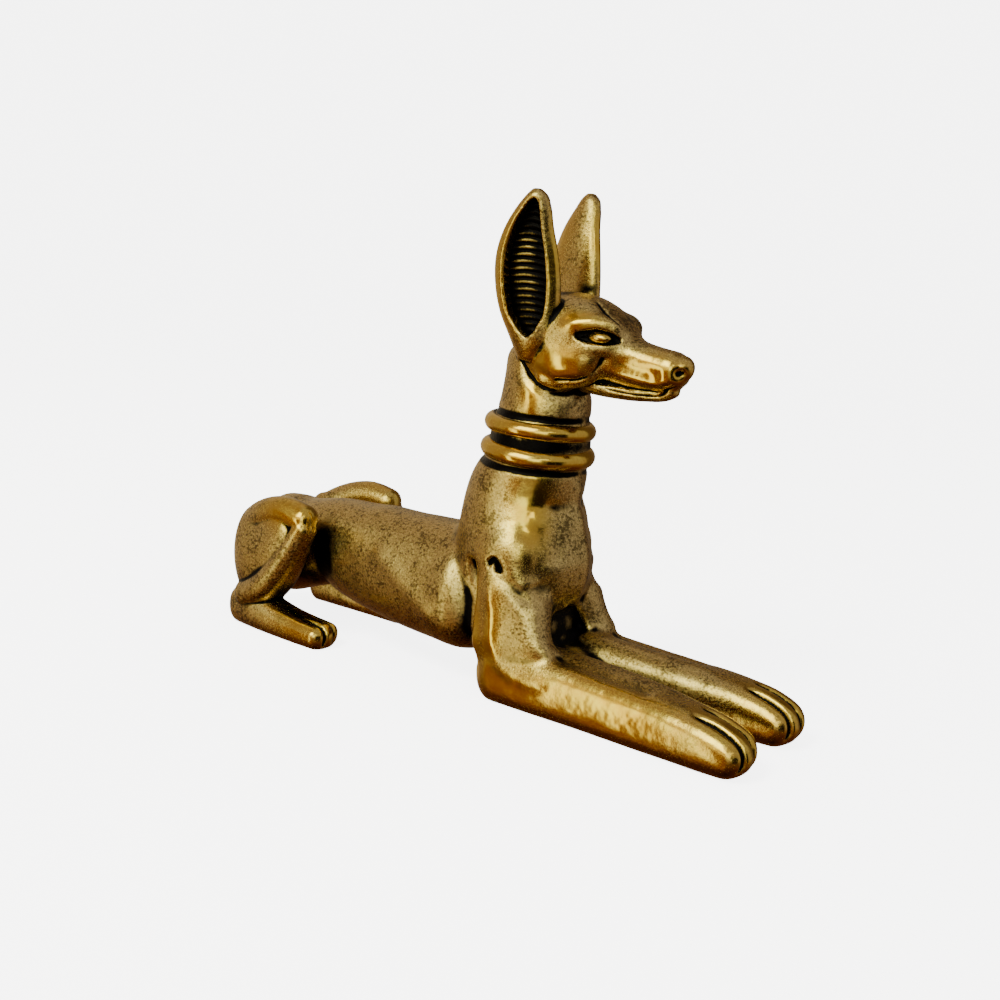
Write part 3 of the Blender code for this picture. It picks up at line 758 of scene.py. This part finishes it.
def shaded(points, normals, count=64, cell=0.3, reach=7.0):
    """For each direction the points are laid on a grid of cells seen along it, and each cell
    keeps its highest point. A point is in shadow where its cell's highest lies above it, and the
    shadow counts by the cosine to the normal and by less up to the reach."""
    dark, total = np.zeros(len(points)), np.zeros(len(points))
    starts = points + START_OFF * normals
    for way in spread_directions(count):
        facing = normals @ way
        across = np.cross(way, (0, 0, 1.0) if abs(way[2]) < 0.9 else (1.0, 0, 0))
        across /= np.linalg.norm(across)
        up = np.cross(way, across)
        column = np.floor(points @ across / cell).astype(int)
        row = np.floor(points @ up / cell).astype(int)
        first_column, first_row = column.min(), row.min()
        wide = row.max() - first_row + 3
        slot = (column - first_column) * wide + row - first_row
        top = np.full(slot.max() + 2 * wide, -1e9)
        depth = points @ way
        order = np.argsort(depth)
        top[slot[order]] = depth[order]
        columns = np.floor(starts @ across / cell).astype(int) - first_column
        rows = np.floor(starts @ up / cell).astype(int) - first_row
        here = np.clip(columns * wide + rows, 0, len(top) - 1)
        above = top[here] - starts @ way
        blocked = (above > CLEAR) * np.clip(1 - above / reach, 0.25, 1)
        weight = np.clip(facing, 0, 1)
        dark += blocked * weight
        total += weight
    return dark / total


fine_normals = normals_of(points, quads)
near_parts = shaded(points, fine_normals)
hollow = sunk_in(points, quads, 12)
broad = sunk_in(points, quads, 90)
print("shade: mean", round(float(near_parts.mean()), 3), "most", round(float(near_parts.max()), 2))

# %% [markdown]
# Some places are dark for another reason: the bath dried there, or no cloth could get in. A few are
# painted shade instead: between the ears, on the front of the arm, on the floor of the arch, and
# in the gap before the haunch, where painted shadow lies over the patina. They are named one by
# one, as a middle, a reach along each axis and an amount.

# %% Stains and painted shade
STAINS_AND_PAINTED_SHADE = {
    # Painted shadow: the ears shade the head between them.
    "painted shadow of the ears between them": ((2.6, 1.2, 42.4), (1.6, 1.6, 0.9), 0.7),
    "foot of the ear": ((2.8, 3.4, 42.7), (1.2, 1.3, 0.75), 1.0),
    "ear's front root": ((3.6, 3.5, 40.6), (0.5, 1.2, 1.3), 0.9),
    "brow's far end": ((9.6, 0.5, 40.35), (1.0, 0.7, 0.6), 0.55),
    "nape": ((-2.6, 2.0, 37.0), (1.2, 2.4, 2.2), 0.35),
    "above the collar": ((0.6, 2.5, 29.8), (7.0, 7.0, 0.5), 0.7),
    "in the collar": ((0.5, 2.5, 27.0), (7.0, 7.0, 0.9), 1.3),
    "below the collar": ((0.2, 2.5, 24.3), (7.0, 7.0, 0.4), 0.7),
    "behind the elbow": ((-3.0, 6.0, 5.0), (1.0, 1.6, 6.0), 0.8),
    "arm's foot": ((6.4, 6.4, 5.5), (1.3, 0.9, 0.5), 0.6),
    "inner side of the forearm": ((15.0, 2.4, 4.4), (7.5, 1.0, 1.3), 0.6),
    # Painted shade: the front face of the arm made darker, standing for the lesser light that falls on
    # it.
    "painted shade on the front of the arm": ((4.3, 7.1, 8.8), (1.6, 1.3, 3.4), 0.3),
    "inner front edge of the ear": ((3.0, 2.6, 46.2), (1.3, 0.7, 5.0), 0.38),
    "foot of the arch": ((6.8, 2.6, 5.5), (1.3, 0.9, 0.45), 0.9),
    # Painted shade in the recess of the arch between the forelegs.
    "painted shade on the floor of the arch": ((4.9, 0.0, 7.6), (1.8, 2.6, 2.4), 0.7),
    "below the shoulder": ((3.6, 6.6, 12.6), (1.6, 1.2, 0.9), 0.4),
    # Patina, with painted shadow laid over it, in the deep gap between the haunch and the body.
    "patina and painted shadow before the haunch": ((-25.4, 4.6, 9.6), (1.7, 2.6, 4.4), 1.2),
    "patina and painted shadow in the haunch's hollow": ((-27.6, 5.0, 5.2), (3.4, 3.2, 2.8), 1.0),
    "between the forelegs": ((14.0, 0.6, 3.4), (8.0, 1.2, 2.0), 0.8),
    "corner of the eye": ((10.0, 2.5, 38.35), (0.6, 0.8, 0.5), 1.0),
    "back corner of the eye": ((6.7, 3.9, 38.35), (0.35, 0.8, 0.3), 0.8),
}


def squared_gaps(points, places):
    """The squared distance of each point, or of its twin on the animal's left, from each
    place's middle, measured in the place's own reaches."""
    left = np.abs(points * (0, 1, 0)) + points * (1, 0, 1)
    return [(((left - middle) / reach) ** 2).sum(axis=1) for middle, reach in places]


def stain_and_shade(points):
    """How dark each point is made by stains and painted shade: the strongest of amount times
    exp(-squared distance).
    """
    gaps = squared_gaps(points, [stain[:2] for stain in STAINS_AND_PAINTED_SHADE.values()])
    marks = [np.exp(-gap) * stain[2] for gap, stain in zip(gaps, STAINS_AND_PAINTED_SHADE.values())]
    return np.max(marks, axis=0)


CREASE_FULL = 0.05
DIP_FULL = 0.22
SHADE_FROM = 0.34
SHADE_SPAN = 0.35
# The patina number also carries the painted shade of a few of the named places.
patina_and_shade = 0.5 * np.clip(hollow / CREASE_FULL, 0, 1) + 0.45 * np.clip(broad / DIP_FULL, 0, 1)
patina_and_shade += 0.9 * np.clip((near_parts - SHADE_FROM) / SHADE_SPAN, 0, 1) + 0.95 * carved + stain_and_shade(points)
patina_and_shade = np.clip(patina_and_shade, 0, 1)
print("patina covers", round(float((patina_and_shade > 0.5).mean()) * 100, 1), "% of the points")

# %% [markdown]
# The cloth and the file also leave two finishes on the bare metal. Places that the cloth reaches
# easily are bright and glossy: muzzle, cheeks, ear rims, elbows, the outsides of the forelegs
# and the paws. The flanks, the chest and the inner sides keep the duller cast skin.

# %% Where it is polished
POLISHED = (
    ((14.0, 1.5, 35.6), (5.0, 2.5, 2.0)),
    ((4.6, 4.4, 35.4), (4.2, 1.6, 2.2)),
    ((6.5, 4.0, 40.0), (2.2, 1.4, 1.2)),
    ((-1.0, 5.0, 45.0), (2.6, 1.6, 8.0)),
    ((3.0, 4.0, 45.0), (1.2, 1.0, 8.0)),
    ((-1.0, 7.6, 5.0), (1.4, 2.0, 9.0)),
    ((1.4, 8.0, 6.0), (1.2, 0.9, 7.0)),
    ((16.0, 7.6, 3.2), (11.5, 2.2, 3.0)),
    ((4.0, 7.8, 2.4), (5.0, 1.2, 2.0)),
    ((27.0, 5.5, 2.6), (5.0, 3.8, 3.6)),
    ((3.2, 4.9, 20.0), (2.2, 2.2, 6.5)),
    ((2.0, 4.4, 32.0), (1.4, 1.0, 2.4)),
    ((6.6, 3.8, 39.8), (2.8, 1.6, 1.2)),
    ((-27.0, 8.0, 14.6), (4.5, 2.4, 2.0)),
    ((-24.0, 7.6, 2.2), (5.0, 2.6, 2.4)),
)


def polish(points):
    """How polished each point is, from 0 to 1: exp of -0.9 times the least squared distance
    from the polished places raised to 1.4, which makes the edge of a place a little firmer."""
    return np.exp(-0.9 * np.min(squared_gaps(points, POLISHED), axis=0) ** 1.4)


print("polished share", round(float(polish(points).mean()), 2))

# %% [markdown]
# ## Thinning and standing it on the ground
# The skin has far more triangles than it needs on its smooth parts. Decimate takes them away
# there first, and a point that stays keeps its numbers. Then everything below the ground is
# pressed flat onto it, which gives flat soles.

# %% The finished skin
MOST_TRIANGLES = 192000


def attribute(mesh, name, values):
    """Keeps one number a point with the mesh, for its material."""
    layer = mesh.attributes.new(name, "FLOAT", "POINT")
    layer.data.foreach_set("value", np.ascontiguousarray(values, np.float32))


def piece_of(mesh, name):
    """An object at the origin for a finished mesh in millimetres of the drawing frame."""
    points, _ = arrays_of(mesh)
    points[:, 2] = np.maximum(points[:, 2], 0)
    points = (points - (MIDDLE_X, 0, 0)) * MM
    mesh.vertices.foreach_set("co", points.astype(np.float32).ravel())
    mesh.update()
    mesh.shade_smooth()
    piece = bpy.data.objects.new(name, mesh)
    bpy.context.scene.collection.objects.link(piece)
    return piece


skin_mesh = bpy.data.meshes.new("cast_skin")
skin_mesh.from_pydata(points, [], quads.tolist())
attribute(skin_mesh, "patina_and_shade", patina_and_shade)
attribute(skin_mesh, "polish", polish(points))
skin_mesh.update()
share = min(1.0, MOST_TRIANGLES / (2 * len(quads)))
skin_mesh = through(skin_mesh, "DECIMATE", ratio=share, use_collapse_triangulate=True)
figure = piece_of(skin_mesh, "cast_figure")
print("thinned to", len(skin_mesh.polygons), "triangles, with", list(skin_mesh.attributes.keys()))

# %% [markdown]
# ## Collar
# Two plain rings lie round the neck, with black grooves above, between and below them. A ring
# is a round tube carried round an oval and tipped a little forwards, a shape that numbers give
# better than a melt does.

# %% Collar rings
RINGS = ((0.45, 28.4, 6.0, 5.5, 0.92), (0.3, 25.65, 6.15, 5.75, 1.02))
RING_TILT = 0.035


def ring(shape):
    """At angle a round the neck and b round the tube: the oval's point, moved out by the tube's
    radius times cos b and up by the radius times sin b. A slow wave keeps it hand-made."""
    x, z, long, wide, radius = shape
    a = np.linspace(0, 2 * np.pi, 260, endpoint=False)[:, None]
    b = np.linspace(0, 2 * np.pi, 44, endpoint=False)[None]
    tube = radius * (1 + 0.03 * np.sin(3 * a + z) + 0.015 * np.sin(7 * a))
    out = np.cos(b) * tube
    points = np.stack(
        [
            x + np.cos(a) * (long - radius + out),
            np.sin(a) * (wide - radius + out),
            z + np.sin(b) * tube + 0.05 * np.sin(2 * a + z),
        ],
        -1,
    )
    points[..., 2] -= RING_TILT * (points[..., 0] - x)
    index = np.arange(a.size * b.size).reshape(a.size, b.size)
    turned, onward = np.roll(index, -1, axis=0), np.roll(index, -1, axis=1)
    quads = np.stack([index, turned, np.roll(turned, -1, axis=1), onward], -1).reshape(-1, 4)
    return points.reshape(-1, 3), quads, np.empty((0, 3), int), (np.cos(b) + 0 * a).ravel()


rings = [ring(shape) for shape in RINGS]
collar_mesh = mesh_of([made[:3] for made in rings], "collar")
outer = np.concatenate([made[3] for made in rings])
attribute(collar_mesh, "patina_and_shade", np.clip(0.75 - 1.6 * (outer + 0.05), 0, 1))
attribute(collar_mesh, "polish", np.full(len(outer), 0.85))
collar = piece_of(collar_mesh, "collar_rings")
print("collar:", len(collar_mesh.polygons), "faces")

# %% [markdown]
# ## Ribs in the ears
# The floor of each ear hollow is crossed by about eighteen fine ribs. They are finer than the
# melted skin can hold, so the ribbed floor is its own thin leaf, let into the hollow.

# %% Ribbed ear floors
RIB_PITCH = 0.68
RIB_HEIGHT = 0.16
RIB_LIFT = 0.07
LEAF_DEPTH = 0.5
# Where light falls into the ear hollow, by height, for a painted highlight on the rib crests.
LIT_PLACES = (0, 0.1, 0.3, 0.7, 0.95)
LIT_AMOUNTS = (0.2, 0.8, 0.9, 1, 0.3)


def ribbed_floor(side=1.0):
    """Across the hollow, s runs between the walls. The floor is raised by the rib height times
    1 - (2 f - 1) squared, where f is the share of a pitch that has gone by at that height. Also
    gives how bright each crest is made: rubbed bright by wear, and brightest in the hollow's
    middle, a painted highlight where the light falls in."""
    height = np.linspace(HOLLOW_LOW + 0.35, HOLLOW_HIGH - 0.5, 420)
    middle, half, outward, thick = ear_frame(height)
    width = 0.97 * hollow_width(height)[:, None]
    s = np.concatenate([np.linspace(-1, 1, 44), np.linspace(1, -1, 22)[1:-1]])[None]
    front = np.concatenate([np.ones(44), np.zeros(20)])[None]
    bow = 0.35 * s**2
    f = np.mod((height[:, None] + bow) / RIB_PITCH, 1)
    crest = (1 - (2 * f - 1) ** 2) ** 1.4 * np.clip((1 - np.abs(s)) / 0.12, 0, 1)
    bulge = thick[:, None] * np.sqrt(np.clip(1 - (s * width) ** 2, 0, 1))
    floor = np.maximum(bulge - HOLLOW_DEPTH, -BACK_SHARE * thick[:, None])
    reach = floor + np.where(front > 0, RIB_LIFT + RIB_HEIGHT * crest, -LEAF_DEPTH)
    points = np.empty((len(height), s.size, 3))
    points[..., :2] = middle[:, None] + half[:, None] * (s * width)[..., None]
    points[..., :2] += outward[:, None] * reach[..., None]
    points[..., 2] = height[:, None]
    part = (height - HOLLOW_LOW) / (HOLLOW_HIGH - HOLLOW_LOW)
    # Painted highlight: the crests are brightest in the hollow's middle, where the light falls in, on
    # top of their wear.
    lit = np.clip(1.3 - np.abs(s + 0.15) * 1.1, 0, 1) * np.interp(part, LIT_PLACES, LIT_AMOUNTS)[:, None]
    worn_and_lit = (crest**2 * lit * front).ravel()
    return (*skin(points * (1, -side, 1)), np.append(worn_and_lit, (0, 0)))


floors = both(ribbed_floor)
floor_mesh = mesh_of([made[:3] for made in floors], "ear_floors")
worn_and_lit = np.concatenate([made[3] for made in floors])
# Lighter patina on the crests: wear, and a painted highlight.
attribute(floor_mesh, "patina_and_shade", np.clip(1.0 - 0.52 * worn_and_lit, 0, 1))
attribute(floor_mesh, "polish", 0.2 * worn_and_lit)
ear_floors = piece_of(floor_mesh, "ear_ribs")
print("ribs in each ear:", int((HOLLOW_HIGH - HOLLOW_LOW) / RIB_PITCH))

# %% [markdown]
# ## Eyes
# A small smooth ball sits in each eye's dark hollow.

# %% Eyeballs
EYEBALL = (8.3, 2.72, 38.47, 1.35, 0.78, 0.6)
balls = both(ball, EYEBALL)
eye_mesh = mesh_of(balls, "eyeballs")
attribute(eye_mesh, "patina_and_shade", np.full(len(eye_mesh.vertices), 0.2))
attribute(eye_mesh, "polish", np.full(len(eye_mesh.vertices), 0.6))
eyeballs = piece_of(eye_mesh, "eyeballs")
print("eyeballs:", len(eye_mesh.polygons), "faces")

# %% [markdown]
# ## Cast brass, antiqued
# Brass is copper and zinc: a warm yellow metal whose colour lives in its reflections. The bath
# leaves a blue-black film in the hollows, the cloth leaves bare, glossy brass on the high
# places, and in between the cast skin keeps fine pits that hold specks of the dark film.

# %% Colours and the node helper
def linear(text):
    """An sRGB hex colour as linear red, green, blue and 1."""
    parts = np.array([int(text[i : i + 2], 16) for i in (1, 3, 5)]) / 255
    parts = np.where(parts <= 0.04045, parts / 12.92, ((parts + 0.055) / 1.055) ** 2.4)
    return (*parts.tolist(), 1.0)


def node(tree, kind, inputs=(), out=0, **settings):
    """Adds one node with its settings and gives one of its outputs. Each input is a value, or
    the output of another node to link from."""
    made = tree.nodes.new("ShaderNode" + kind)
    for name, value in settings.items():
        setattr(made, name, value)
    for name, value in dict(inputs).items():
        if isinstance(value, bpy.types.NodeSocket):
            tree.links.new(value, made.inputs[name])
        else:
            made.inputs[name].default_value = value
    return made.outputs[out]


COLOUR = 2
print("polished brass in linear numbers:", np.round(linear("#D8B44A"), 3))

# %% [markdown]
# The patterns are sized in millimetres: clouds of tarnish about 2 mm wide, a cast grain of
# 0.2 mm and specks of film of 0.3 mm in the pits. Two numbers ride on the skin: how much film
# the bath left, with some painted shade and, on the ear ribs, a painted highlight in it, and how
# far the cloth polished it.

# %% Patterns of the brass
brass = bpy.data.materials.new("cast_brass_antiqued")
brass.use_nodes = True
tree = brass.node_tree
shader = tree.nodes["Principled BSDF"]
metres = node(tree, "TexCoord", out="Object")
place = node(tree, "VectorMath", {0: metres, 1: (1000, 1000, 1000)}, operation="MULTIPLY")
# The film's number is the patina, with painted shade in a few places and a painted highlight on the ear
# ribs.
film_and_shade = node(tree, "Attribute", attribute_name="patina_and_shade", out="Fac")
polished = node(tree, "Attribute", attribute_name="polish", out="Fac")
cloud = node(tree, "TexNoise", {"Vector": place, "Scale": 0.5, "Detail": 2.0})
grain = node(tree, "TexNoise", {"Vector": place, "Scale": 5.0, "Detail": 2.0, "Roughness": 0.6})
specks = node(tree, "TexNoise", {"Vector": place, "Scale": 3.2, "Detail": 3.0, "Roughness": 0.65})
uneven = node(tree, "Math", {0: cloud, 1: 0.5}, operation="SUBTRACT")
rough_side = node(tree, "Math", {0: 1.0, 1: polished}, operation="SUBTRACT")
print("patterns: clouds 2 mm, grain 0.2 mm, specks 0.3 mm")

# %% How dark the film is
ease = {"interpolation_type": "SMOOTHSTEP"}
dark = node(tree, "Math", {0: uneven, 1: 0.5, 2: film_and_shade}, operation="MULTIPLY_ADD")
dark = node(tree, "Math", {0: grain, 1: 0.4, 2: dark}, operation="MULTIPLY_ADD")
dark = node(tree, "MapRange", {0: dark, 1: 0.46, 2: 0.92}, **ease)
pitted = node(tree, "Math", {0: uneven, 1: 0.5, 2: specks}, operation="MULTIPLY_ADD")
pits = node(tree, "MapRange", {0: pitted, 1: 0.5, 2: 0.66, 4: 0.8}, **ease)
pits = node(tree, "Math", {0: pits, 1: rough_side}, operation="MULTIPLY")
print("film and pits mixed")

# %% Colour, gloss and relief
fine = node(tree, "MapRange", {0: grain, 1: 0.3, 2: 0.7}, **ease)
broad = node(tree, "MapRange", {0: cloud, 1: 0.35, 2: 0.65}, **ease)
mix = {"data_type": "RGBA", "out": COLOUR}
khaki = node(tree, "Mix", {0: fine, 6: linear("#9C8350"), 7: linear("#D2B578")}, **mix)
bright = node(tree, "Mix", {0: broad, 6: linear("#CA9F3A"), 7: linear("#D8B44A")}, **mix)
metal = node(tree, "Mix", {0: polished, 6: khaki, 7: bright}, **mix)
metal = node(tree, "Mix", {0: pits, 6: metal, 7: linear("#4A3A20")}, **mix)
colour = node(tree, "Mix", {0: dark, 6: metal, 7: linear("#0E0C0E")}, **mix)
dull = node(tree, "Math", {0: fine, 1: 0.12, 2: 0.27}, operation="MULTIPLY_ADD")
gloss = node(tree, "Math", {0: cloud, 1: 0.08, 2: 0.1}, operation="MULTIPLY_ADD")
rough = node(tree, "Mix", {0: polished, 2: dull, 3: gloss})
rough = node(tree, "Mix", {0: dark, 2: rough, 3: 0.42})
height = node(tree, "Math", {0: specks, 1: rough_side}, operation="MULTIPLY")
height = node(tree, "Math", {0: cloud, 1: 1.6, 2: height}, operation="MULTIPLY_ADD")
relief = node(tree, "Bump", {"Strength": 0.35, "Distance": 0.00012, "Height": height})
tree.links.new(colour, shader.inputs["Base Color"])
tree.links.new(rough, shader.inputs["Roughness"])
tree.links.new(relief, shader.inputs["Normal"])
shader.inputs["Metallic"].default_value = 1.0
for piece in (figure, collar, ear_floors, eyeballs):
    piece.data.materials.append(brass)
print("brass made with", len(tree.nodes), "nodes")

# %% [markdown]
# ## Joining the frame
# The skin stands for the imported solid, which stays for collision.

# %% Ride and replace
for piece in (figure, collar, ear_floors, eyeballs):
    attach(piece, "root")
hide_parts("jackal_figure")
print("four pieces ride on the root body")

# %% [markdown]
# ## Stage, lights and camera
# The figure stands on a white sheet that curves up all round it, as in a product photographer's
# light tent. The sheet glows a little and is hidden from the metal, so that it stays white and
# the brass mirrors the room alone.

# %% Stage
SHEET = np.array([(0.02, 0), (0.3, 0), (0.4, 0.01), (0.47, 0.04), (0.5, 0.1), (0.5, 0.5)])
turn = np.linspace(0, 2 * np.pi, 96, endpoint=False)[None, :, None]
out, lift = SHEET[:, None, :1], SHEET[:, None, 1:]
hoops = np.concatenate([out * np.cos(turn), out * np.sin(turn), lift + 0 * turn], -1)
index, _, faces = tiles(*hoops.shape[:2])
sheet_mesh = bpy.data.meshes.new("pale_sheet")
sheet_mesh.from_pydata(hoops.reshape(-1, 3), [], faces.tolist() + [index[0].tolist()])
sheet_mesh.shade_smooth()
sheet = bpy.data.objects.new("pale_sheet", sheet_mesh)
bpy.context.scene.collection.objects.link(sheet)
paper = bpy.data.materials.new("matt_white_paper")
paper.use_nodes = True
matt = paper.node_tree.nodes["Principled BSDF"].inputs
matt["Base Color"].default_value = linear("#F4F3F1")
matt["Roughness"].default_value = 0.9
matt["Emission Color"].default_value = linear("#FFFFFF")
matt["Emission Strength"].default_value = 5.0
sheet_mesh.materials.append(paper)
sheet.visible_glossy = False
sheet.visible_diffuse = False
print("sheet", 2 * SHEET[:, 0].max(), "m wide")

# %% [markdown]
# Polished metal has hardly a look of its own: it shows what stands round it. Softboxes could be
# modelled one by one. Here the room is painted on the world instead, as patches given in degrees
# of turn and rise, because a highlight can then be moved by changing one number.

# %% Room
world = bpy.data.worlds.new("pale_room")
bpy.context.scene.world = world
world.use_nodes = True
air = world.node_tree
way = node(air, "TexCoord", out="Generated")
east, north, zenith = (node(air, "SeparateXYZ", {0: way}, out=axis) for axis in "XYZ")
turn = node(air, "Math", {0: north, 1: east}, operation="ARCTAN2")
turn = node(air, "Math", {0: turn}, operation="DEGREES")
rise = node(air, "Math", {0: zenith}, operation="ARCSINE")
rise = node(air, "Math", {0: rise}, operation="DEGREES")
share = node(air, "MapRange", {0: rise, 1: -90, 2: 90})
room_tone = node(air, "ValToRGB", {0: share})
FLOOR_TO_CEILING = {
    -90: "#1A0A05", -45: "#5E3216", -22: "#96785C", -8: "#BCB6AA", 25: "#C2C0B8", 60: "#C6C4BE",
}
ramp = room_tone.node.color_ramp
for degrees in list(FLOOR_TO_CEILING)[1:-1]:
    ramp.elements.new(degrees / 180 + 0.5)
for stop, (degrees, tone) in zip(ramp.elements, FLOOR_TO_CEILING.items()):
    stop.position = degrees / 180 + 0.5
    stop.color = linear(tone)
print("room bands:", len(ramp.elements))


def pane(tone, left, right, low, high, colour, edge=3.0):
    """A four-sided patch of the room, given in degrees of turn and rise, with soft edges."""
    amount = 1.0
    for value, start, end in ((turn, left, right), (rise, low, high)):
        into = node(air, "MapRange", {0: value, 1: start - edge, 2: start}, **ease)
        over = node(air, "MapRange", {0: value, 1: end, 2: end + edge, 3: 1, 4: 0}, **ease)
        both_edges = node(air, "Math", {0: into, 1: over}, operation="MULTIPLY")
        amount = node(air, "Math", {0: both_edges, 1: amount}, operation="MULTIPLY")
    return node(air, "Mix", {0: amount, 6: tone, 7: colour}, **mix)


PATCHES = {
    "wall on the left": (-182, -132, -10, 60, linear("#C2B094"), 12),
    "wall at the rear left": (134, 182, -20, 60, linear("#D0BE9E"), 8),
    "dim wall at the rear": (58, 104, -30, 70, linear("#6C5A48"), 12),
    "edge of the dim wall": (104, 124, -10, 50, linear("#86745A"), 10),
    "warm table below the window": (-135, -85, -45, -2, (0.36, 0.15, 0.045, 1), 8),
    "curtain's gap": (-120, -112, -30, 6, (3.6, 3.8, 2.0, 1), 4),
    "window's lower half": (-118, -79, 6, 24, (1.5, 1.35, 0.62, 1), 5),
    "window": (-113, -79, 21, 48, (7.4, 8.2, 4.8, 1), 4),
    "second window": (-75, -55, 1, 24, (2.9, 3.2, 1.9, 1), 3),
    "high slot": (-54, -40, 26, 30, (4.0, 4.4, 2.6, 1), 2),
    "dark doorway": (-46, -8, -24, 8, linear("#241D16"), 6),
}
for patch in PATCHES.values():
    room_tone = pane(room_tone, *patch)
mirrored = air.nodes["Background"]
air.links.new(room_tone, mirrored.inputs["Color"])
plain = node(air, "Background", {"Color": linear("#F2F1EE"), "Strength": 1.0})
in_metal = node(air, "LightPath", out="Is Glossy Ray")
seen = node(air, "MixShader", {0: in_metal, 1: plain, 2: mirrored.outputs[0]})
air.links.new(seen, air.nodes["World Output"].inputs["Surface"])
world.cycles.sampling_method = "NONE"
print("room made with", len(air.nodes), "nodes")

# %% [markdown]
# A wide lamp above the camera's left lays a soft shadow. It is hidden from the metal, which has
# its highlights from the painted windows.

# %% Lamp
lamp = bpy.data.lights.new("window_glow", "AREA")
lamp.size = 0.12
lamp.energy = 1.6
glow = bpy.data.objects.new("window_glow", lamp)
spot = Vector((-0.05, -0.22, 0.3))
glow.matrix_world = Matrix.Translation(spot) @ (-spot).to_track_quat("-Z", "Y").to_matrix().to_4x4()
glow.visible_glossy = False
glow.visible_camera = False
bpy.context.scene.collection.objects.link(glow)
print("lamp", lamp.energy, "W, hidden from the metal")

# %% [markdown]
# The camera was found from the photograph: straight lines of the figure gave its turn, dip and
# roll, and the figure's size its distance. Sharpness is the focal length in pixels of a frame of
# 1000, and the small shift sets the figure at its place in the frame.

# %% Camera
CAMERA_AT = (76.216, -113.553, 49.941)
LOOK = np.array((-0.56555, 0.79888, -0.20477))
YAW = np.radians(35.3)
ROLL = np.radians(4.14)
SHARPNESS = 1325.4
SENSOR = 36
level = np.array([np.cos(YAW), np.sin(YAW), 0])
above = np.cross(level, LOOK)
right = np.cos(ROLL) * level + np.sin(ROLL) * above
up = np.cos(ROLL) * above - np.sin(ROLL) * level
lens = bpy.data.cameras.new("camera")
lens.sensor_width = SENSOR
lens.lens = SENSOR * SHARPNESS / 1000
lens.shift_x = 0.00023
lens.shift_y = -0.01192
lens.clip_start = 0.005
camera = bpy.data.objects.new("camera", lens)
at = (np.array(CAMERA_AT) - (MIDDLE_X, 0, 0)) * MM
rows = np.stack([right, up, -LOOK, at], 1)
camera.matrix_world = Matrix([*rows.tolist(), [0, 0, 0, 1]])
bpy.context.scene.collection.objects.link(camera)
bpy.context.scene.camera = camera
print("camera", round(lens.lens, 1), "mm lens")
